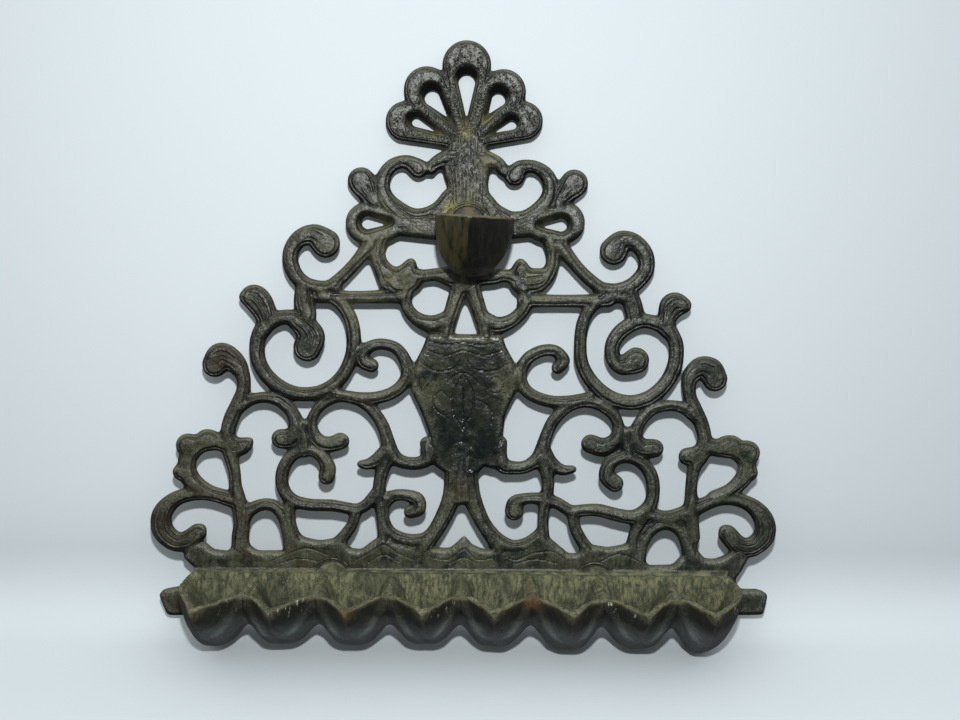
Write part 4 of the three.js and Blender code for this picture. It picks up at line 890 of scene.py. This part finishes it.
servantSide = freeSide(servant["half"], servant["reach"])
points, faces, attributes = panShell({
    **pans, **servant, "saddle": 0.5 * servant["reach"], "leanFrom": 0.4 * servant["reach"],
    "sides": [servantSide, servantSide], "rounded": (True, True),
    "centre": servant["tenon"][0] + servant["offset"], "level": servant["tenon"][1] + servant["rimAbove"],
}, 60)
points = rolled(points, servant["tenon"], servant["roll"])
servantPan = buildMesh("servantPan", points, faces, attributes, sharp=50)
points, faces = discGrid(*servant["tenon"], servant["tenonRadius"], -0.3, -5.2)
servantTenon = buildMesh("servantTenon", points, faces, {"inner": np.ones(len(points))}, sharp=50)
print("servant pan made")


patina = {
    "brown": (0.026, 0.018, 0.008),
    "green": (0.007, 0.012, 0.008),
    "worn": (0.02, 0.027, 0.017),
    "panel": (0.0022, 0.0055, 0.003),
    "dust": (0.15, 0.15, 0.072),
    "ochre": (0.2, 0.17, 0.06),
    # The pale ridge colour is rubbed metal and also stands in as a painted highlight
    "ridgeAndHighlight": (0.19, 0.2, 0.165),
    # The soot colour is used for real pits and also for painted shade on faces that look down and at the hollows'
    # edges
    "sootAndShade": (0.0022, 0.0024, 0.0024),
    "oil": (0.004, 0.007, 0.011),
    "grooves": 0.85,    # strength of all cut lines
}


def patinaMaterial():
    # Dark cast surface with worn ridges whose pale colour is also a painted highlight: dust where it faces up,
    # painted shade that turns it black where it faces down and along the upper edge inside a sunk hollow, darker in
    # concave spots and cut lines, and burnt oil low on the shield. A line is 1 where the distance to its middle is
    # below a small reach.
    shader = Shader("dark cast patina")
    across, offset, along, toEnd = (shader.attribute(key) for key in ("across", "offset", "along", "toEnd"))
    cavity, dusty, residue, sunk = (shader.attribute(key) for key in ("cavity", "dusty", "residue", "sunk"))
    inward, panel, brushed = (shader.attribute(key) for key in ("inward", "panel", "brushed"))
    grain = shader.noise(0.6, 4, 0.7)
    pits = shader.noise(1.5, 3, 0.6, seed=6)
    mottle = shader.noise(4.5, 4, 0.62, seed=3)
    streaks = shader.noise(0.9, 3, 0.6, stretch=(1.0, 1.0, 0.14), seed=5)
    upward = shader.facing(2)
    # Lines along the bars: one inside each edge, and veins on broad bars
    wide = abs(offset / (abs(across) + 0.02)).between(2.6, 3.4) * (1 - panel)
    vein = lambda place, reach: 1 - abs(across + mottle * 0.16 - place - 0.08).between(0.02, reach)
    veins = vein(0.34, 0.15).most(vein(-0.28, 0.14)).most(vein(0.02, 0.12) * 0.8)
    veins = veins * wide * toEnd.between(0.8, 4.0) * inward.between(1.5, 2.1) * 0.8
    side = across.between(-0.25, 0.1) * 0.65 + 0.35
    groove = (1 - abs(inward + mottle * 0.7 - 1.55).between(0.05, 0.55)) * side.most(wide)
    lines = groove.most(veins) * shader.attribute("reeded")
    # A petal's rim line and its hatching, flutes on plain forms, and the engraved lines
    rim = (1 - abs(inward + mottle * 0.4 - 1.15).between(0.05, 0.36)) * shader.attribute("hatched") * 0.9
    hatch = 1 - abs((along * 0.9 + abs(offset) * 0.7 + mottle * 3.0).part() - 0.5).between(0.08, 0.4)
    hatch = (hatch * toEnd.between(0.1, 1.0)).most(pits.between(0.5, 0.58) * 0.7)
    hatch = hatch * shader.attribute("hatched") * inward.between(1.2, 1.7) * grain.between(0.35, 0.5) * 0.7
    flutes = 1 - abs((offset * 0.95 + mottle * 2.0).part() - 0.5).between(0.06, 0.4)
    flutes = flutes * (brushed - 0.4).most(0.0) * inward.between(0.9, 1.6) * pits.between(0.4, 0.6) * 0.8
    line = shader.attribute("engraved")
    engraved = (1 - line.between(-0.1, 0.32)) * inward.between(0.6, 1.2) * mottle.between(0.25, 0.5) * 0.45
    engraved = engraved.most(1 - line.between(-0.55, -0.3))
    cut = lines.most(rim).most(hatch).most(flutes).most(engraved)
    cut = cut * (1 - sunk.between(0.0, 0.1)) * patina["grooves"]
    # Colours, one over the other
    base = shader.blend(shader.attribute("warm"), patina["green"], patina["brown"])
    base = shader.blend(mottle.between(0.42, 0.66) * 0.75, base, patina["worn"])
    base = shader.blend(panel * 0.8, base, patina["panel"])
    base = shader.blend(pits.between(0.5, 0.66) * 0.5, base, patina["sootAndShade"])
    base = shader.blend(brushed * streaks.between(0.45, 0.62) * 0.3, base, patina["ridgeAndHighlight"])
    dust = (upward.between(0.12, 0.6) * (0.35 + 0.65 * dusty)).most(dusty * mottle.between(0.38, 0.56) * 0.85)
    dust = (dust * grain.between(0.3, 0.55)).most(sunk.between(0.02, 0.4) * upward.between(-0.3, 0.2) * mottle)
    base = shader.blend(dust, base, patina["dust"])
    ochre = dusty.between(0.62, 0.9) * grain.between(0.3, 0.5) * (1 - (-cavity).between(0.02, 0.3))
    base = shader.blend(ochre * 0.85, base, patina["ochre"])
    # Raised ridges get the pale colour, partly rubbed metal and partly a painted highlight
    ridgeAndHighlight = (-cavity).between(0.02, 0.4) * grain.between(0.4, 0.62)
    base = shader.blend(ridgeAndHighlight * (0.45 + 0.25 * shader.attribute("hatched")), base, patina["ridgeAndHighlight"])
    # Painted shade: faces that look down and the upper edge inside each sunk hollow are turned black; concave spots
    # and cut lines are darkened too
    low = (-upward).between(0.04, 0.42) * (1 - dusty * 0.4)
    lip = sunk.between(0.0, 0.06) * (1 - sunk.between(0.1, 0.3))
    dark = (cavity.between(0.06, 0.5) * 0.75).most(cut * 0.75).most(low * 0.95).most(lip * 0.9)
    base = shader.blend(dark, base, patina["sootAndShade"])
    base = shader.blend(residue * pits.between(0.35, 0.6), base, patina["oil"])
    # Cut lines, casting skin and pits as relief
    relief = shader.bump(1 - cut, 0.6)
    skin = shader.noise(0.9, 2, 0.5, seed=12)
    relief = shader.bump(skin + brushed * streaks * 0.5, 0.14, normal=relief)
    relief = shader.bump((pits + mottle) * (1 - 0.75 * panel), 0.3, normal=relief)
    shine = 0.3 + 0.12 * grain + 0.3 * dust - 0.14 * residue - 0.06 * panel
    return shader.finish(colour=base, roughness=shine, metallic=0.0, specular=0.4, normal=relief)


castOil = {
    "dark": (0.013, 0.016, 0.014),
    "brown": (0.036, 0.03, 0.014),
    "rim": (0.13, 0.125, 0.07),
    # The keel colour and the one after it are painted bounce light: the pans' lower body and down-facing underside
    # are made paler as if lit from below
    "keel": (0.12, 0.14, 0.14),
    "bounceLight": (0.2, 0.215, 0.215),
    "rust": (0.1, 0.05, 0.016),
    "well": (0.036, 0.043, 0.023),
    "silt": (0.175, 0.178, 0.094),
    "spots": (0.014, 0.017, 0.01),
    "flecks": (0.42, 0.43, 0.34),
    "rimWidth": 1.7,      # how far down the dusty rim reaches
    "spoutFrom": 28.0,    # distance from the plate at which the spouts get pale streaks, partly drip stains and partly a painted highlight
}


def panMaterial():
    # Dark oily outside with a dusty rim, pale streaks on the spouts that are partly drip stains and partly a painted
    # highlight, a lower body and underside painted paler as bounce light, and a silted inside with dark spots that is
    # also painted darker deep in the well as shade, each colour laid over the ones before it by its own mask
    shader = Shader("oiled cast brass")
    inner, out, below = (shader.attribute(key) for key in ("inner", "out", "below"))
    grain = shader.noise(0.6, 4, 0.7)
    mottle = shader.noise(3.6, 4, 0.62, seed=5)
    broad = shader.noise(14, 2, 0.5, seed=8)
    fine = shader.noise(1.5, 5, 0.7, stretch=(1.0, 1.0, 0.45), seed=15)
    streaks = shader.noise(0.7, 3, 0.6, stretch=(1.0, 0.4, 0.25), seed=9)
    outside = shader.blend(mottle.between(0.35, 0.65) * 0.6, castOil["dark"], castOil["brown"])
    outside = shader.blend(broad.between(0.45, 0.6) * 0.5, outside, castOil["dark"])
    # Painted bounce light: the lower body far below the rim, and faces that look down, are made paler as if lit from
    # below
    outside = shader.blend((below + mottle * 5 - 2.5).between(5.0, 12.0) * 0.85, outside, castOil["keel"])
    outside = shader.blend((-shader.facing(2)).between(0.6, 0.95) * (1 - fine * 0.6), outside, castOil["bounceLight"])
    # The spouts' pale streaks are partly drip stains and partly a painted highlight where the tip's edge catches
    # light
    spout = (out - below * 0.8 - castOil["spoutFrom"]).between(0.0, 3.5) * streaks.between(0.35, 0.55)
    edge = 1 - (below + mottle * 2.6 - 1.3).between(0.1, castOil["rimWidth"])
    edge = (edge * grain.between(0.2, 0.5)).most(spout * 0.6)
    outside = shader.blend(edge * 0.9, outside, castOil["rim"])
    crust = streaks.between(0.58, 0.64) * (1 - below.between(1.5, 6.0)) * broad.between(0.52, 0.56)
    outside = shader.blend(crust, outside, castOil["flecks"])
    inside = shader.blend(fine.between(0.38, 0.6), castOil["well"], castOil["silt"])
    inside = shader.blend(streaks.between(0.5, 0.64) * 0.7, inside, castOil["well"])
    inside = shader.blend(broad.between(0.46, 0.6) * 0.55, inside, castOil["well"])
    # Deep in the well the inside is painted darker as shade, on top of the real dark spots
    inside = shader.blend(((1 - mottle).between(0.54, 0.68) * 0.75).most(below.between(5.0, 14.0) * 0.5), inside,
                          castOil["spots"])
    inside = shader.blend(grain.between(0.6, 0.68) * 0.55, inside, castOil["flecks"])
    inside = shader.blend(shader.attribute("spots") * fine.between(0.3, 0.5), inside, castOil["spots"])
    base = shader.blend(inner.between(0.2, 0.6), outside, inside)
    rust = shader.attribute("rust") * (1 - below.between(1.5, 5.0)) * fine.between(0.35, 0.55)
    base = shader.blend(rust, base, castOil["rust"])
    relief = shader.bump(grain, 0.35)
    relief = shader.bump(streaks + mottle, 0.4, normal=relief)
    return shader.finish(colour=base, roughness=0.36 + 0.28 * inner + 0.15 * mottle, metallic=0.0, specular=0.4,
                         normal=relief)


def stripMaterial():
    # The wells' two colours mixed by a noise
    shader = Shader("dusty strip brass")
    grain = shader.noise(0.8, 4, 0.65)
    mottle = shader.noise(3, 3, 0.6, seed=4)
    base = shader.blend(mottle.between(0.35, 0.65), castOil["well"], castOil["silt"])
    return shader.finish(colour=base, roughness=0.6 + 0.15 * grain, metallic=0.0, normal=shader.bump(grain, 0.25))


satin = {
    "dark": (0.005, 0.006, 0.005),
    "olive": (0.016, 0.016, 0.009),
    # The left colour is a painted reflection on faces turned to the left
    "left": (0.055, 0.05, 0.017),
    "brass": (0.24, 0.18, 0.045),
    "inside": (0.075, 0.06, 0.02),
}


def servantMaterial():
    # Nearly black and satin, olive where it is worn, with a painted reflection that makes faces turned to the left
    # lighter, and brass along the rim
    shader = Shader("dark satin brass")
    inner, below = shader.attribute("inner"), shader.attribute("below")
    grain = shader.noise(0.6, 4, 0.65)
    mottle = shader.noise(4, 3, 0.6, seed=5)
    streaks = shader.noise(1.4, 3, 0.6, stretch=(1.0, 0.3, 0.12), seed=2)
    base = shader.blend(streaks.between(0.42, 0.68), satin["dark"], satin["olive"])
    # Painted reflection: faces turned to the left get paler streaks
    base = shader.blend((-shader.facing(0)).between(0.02, 0.4) * streaks.between(0.3, 0.55), base, satin["left"])
    rim = (1 - (below + mottle * 2 - 1).between(0.0, 0.7)) * mottle.between(0.35, 0.55) * grain.between(0.3, 0.6)
    base = shader.blend(rim.most((1 - below.between(0.1, 0.5)) * mottle.between(0.4, 0.62) * 0.5), base,
                        satin["brass"])
    inside = shader.blend(mottle.between(0.42, 0.6) * grain.between(0.25, 0.45), satin["dark"], satin["inside"])
    base = shader.blend(inner.between(0.6, 0.9), base, inside)
    relief = shader.bump(streaks, 0.2, normal=shader.bump(grain, 0.15))
    return shader.finish(colour=base, roughness=0.26 + 0.14 * grain + 0.3 * inner, metallic=0.0, specular=0.6,
                         normal=relief)


dress(backPlate, patinaMaterial(), "plate_brass", "back_plate")
panFinish = panMaterial()
for index, piece in enumerate(oilPans):
    dress(piece, panFinish, "pan_brass", f"oil_pan_{index + 1}")
servantFinish = servantMaterial()
dress(servantPan, servantFinish, "servant_brass", "servant_pan")
dress(servantTenon, servantFinish, "servant_brass", "servant_pan")
dress(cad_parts["pan_strip"], stripMaterial(), "strip_brass")
print("materials made")


stage = {
    "colour": (0.605, 0.67, 0.705),
    # The left colour paints the backdrop lighter on the left as if more light fell there, and the low colour paints
    # it duller below the object as shade
    "left": (0.67, 0.74, 0.77),          # backdrop at its left
    "low": (0.53, 0.585, 0.61),          # and below the object
    "floor": -62.0,
    "floorHalf": 3000.0,
    "width": 900.0,
    "height": 700.0,
    "depth": 120.0,                      # how far the backdrop comes forward below the pans
    "wall": (0.3, 168.0, 0.0593),        # gap behind the plate at a height, and its growth per millimetre down
    "rest": (-11.5, -22.9, 0.22),        # a point of the sloping run below the pans, and its slope
    "bend": 22.0,                        # how far the bend between the two runs goes along each
    "sky": 1.08,                         # strength of the world straight above
    "underside": 0.11,                   # and from below
    "air": (0.97, 0.99, 1.0),
    "key": (10.0, -372.0, 204.0),
    "keyAim": (0.0, 0.0, 70.0),
    "keySize": 0.018,
    "keyPower": 1.31,
    "camera": (5.6, -369.5, 117.6),
    "cameraTilt": 82.5,                  # 90 would look straight at the plate
    "cameraRoll": 0.36,
    "focal": 43.875,                     # for a picture 36 mm wide
}


def stagePiece(name, points, faces):
    # Smooth mesh from points in millimetres, kept apart from the object
    mesh = bpy.data.meshes.new(name)
    mesh.from_pydata((np.asarray(points) * millimetre).tolist(), [], faces)
    mesh.shade_smooth()
    mesh.update()
    piece = bpy.data.objects.new(name, mesh)
    bpy.context.scene.collection.objects.link(piece)
    return piece


def makeBackdrop():
    # Two straight runs in the YZ plane, behind the plate and below the pans, drawn out along X. A quadratic
    # curve joins them, and its middle control point is where the runs would meet.
    gap, gapHeight, growth = stage["wall"]
    restY, restZ, slope = stage["rest"]
    cornerY = (gap + (gapHeight - restZ + slope * restY) * growth) / (1 + slope * growth)
    corner = np.array([cornerY, restZ + (cornerY - restY) * slope])
    up = np.array([-growth, 1.0])
    forward = np.array([-1.0, -slope])
    t = np.linspace(0, 1, 17)[:, None]
    first, last = corner + stage["bend"] * up, corner + stage["bend"] * forward
    curve = (1 - t) ** 2 * first + 2 * t * (1 - t) * corner + t ** 2 * last
    line = np.vstack([corner + stage["height"] * up, curve, corner + stage["depth"] * forward])
    half = stage["width"] / 2
    points = [(x, y, z) for x in (-half, half) for y, z in line]
    count = len(line)
    return stagePiece("backdrop", points, [(i, i + 1, count + i + 1, count + i) for i in range(count - 1)])


def backdropMaterial():
    # Pale matt surface, painted a little lighter to the left as if more light fell there and painted duller below as
    # shade, that shows only its front face
    shader = Shader("pale backdrop")
    across, height = (shader.node("ShaderNodeSeparateXYZ", inputs={0: shader.place()}, output=i) for i in (0, 2))
    # Painted light: the backdrop is lighter toward the left
    toRight = (across * 5.0 + shader.noise(60, 2, 0.5) * 0.3).between(-0.85, 1.15)
    colour = shader.blend(toRight, stage["left"], stage["colour"])
    # Painted shade: the backdrop is duller low down, below the object
    colour = shader.blend(height.between(-0.035, 0.03), stage["low"], colour)
    surface = shader.node("ShaderNodeBsdfDiffuse", inputs={"Color": colour})
    clear = shader.node("ShaderNodeBsdfTransparent")
    behind = shader.node("ShaderNodeNewGeometry", output=6)
    mixed = shader.node("ShaderNodeMixShader", inputs={0: behind, 1: surface, 2: clear})
    shader.node("ShaderNodeOutputMaterial", inputs={"Surface": mixed})
    return shader.block


def floorMaterial():
    # The backdrop's colour, uneven by two parts in a hundred
    shader = Shader("pale floor")
    tone = shader.noise(80, 2, 0.5).between(0.3, 0.7)
    colour = shader.blend(tone, stage["colour"], tuple(0.98 * c for c in stage["colour"]))
    return shader.finish(colour=colour, roughness=0.9)


def makeRoom():
    # Soft light whose strength goes from the underside's to the sky's with the direction's height
    shader = Shader("soft room", "worlds")
    direction = shader.node("ShaderNodeTexCoord")
    height = shader.node("ShaderNodeSeparateXYZ", inputs={0: direction}, output=2)
    strength = shader.node("ShaderNodeMapRange", {"interpolation_type": "SMOOTHSTEP"}, {
        "Value": height, "From Min": -0.25, "From Max": 1.0, "To Min": stage["underside"], "To Max": stage["sky"]})
    room = shader.node("ShaderNodeBackground", inputs={"Color": (*stage["air"], 1.0), "Strength": strength})
    shader.node("ShaderNodeOutputWorld", inputs={"Surface": room})
    return shader.block


def stand(name, data, place):
    # Puts a lamp or camera at a place in millimetres
    piece = bpy.data.objects.new(name, data)
    bpy.context.scene.collection.objects.link(piece)
    piece.location = Vector(place) * millimetre
    return piece


backdrop = makeBackdrop()
backdrop.data.materials.append(backdropMaterial())
for kind in ("diffuse", "glossy", "transmission", "shadow", "volume_scatter"):
    setattr(backdrop, "visible_" + kind, False)
half, low = stage["floorHalf"], stage["floor"]
floorPiece = stagePiece("floor", [(-half, -half, low), (half, -half, low), (half, half, low), (-half, half, low)],
                        [(0, 1, 2, 3)])
floorPiece.data.materials.append(floorMaterial())
floorPiece.visible_diffuse = False
floorPiece.visible_glossy = False
bpy.context.scene.world = makeRoom()

key = bpy.data.lights.new("key", "AREA")
key.shape = "DISK"
key.size = stage["keySize"]
key.energy = stage["keyPower"]
keyPiece = stand("key", key, stage["key"])
aim = Vector(stage["keyAim"]) * millimetre - keyPiece.location
keyPiece.rotation_euler = aim.to_track_quat("-Z", "Y").to_euler()
keyPiece.visible_camera = False

camera = bpy.data.cameras.new("camera")
camera.sensor_width = 36.0
camera.lens = stage["focal"]
camera.clip_start = 0.01
cameraPiece = stand("camera", camera, stage["camera"])
turn = (Matrix.Rotation(math.radians(stage["cameraTilt"]), 3, "X")
        @ Matrix.Rotation(math.radians(stage["cameraRoll"]), 3, "Z"))
cameraPiece.rotation_euler = turn.to_euler()
bpy.context.scene.camera = cameraPiece
bpy.context.scene.view_settings.view_transform = "Standard"
print("stage ready")
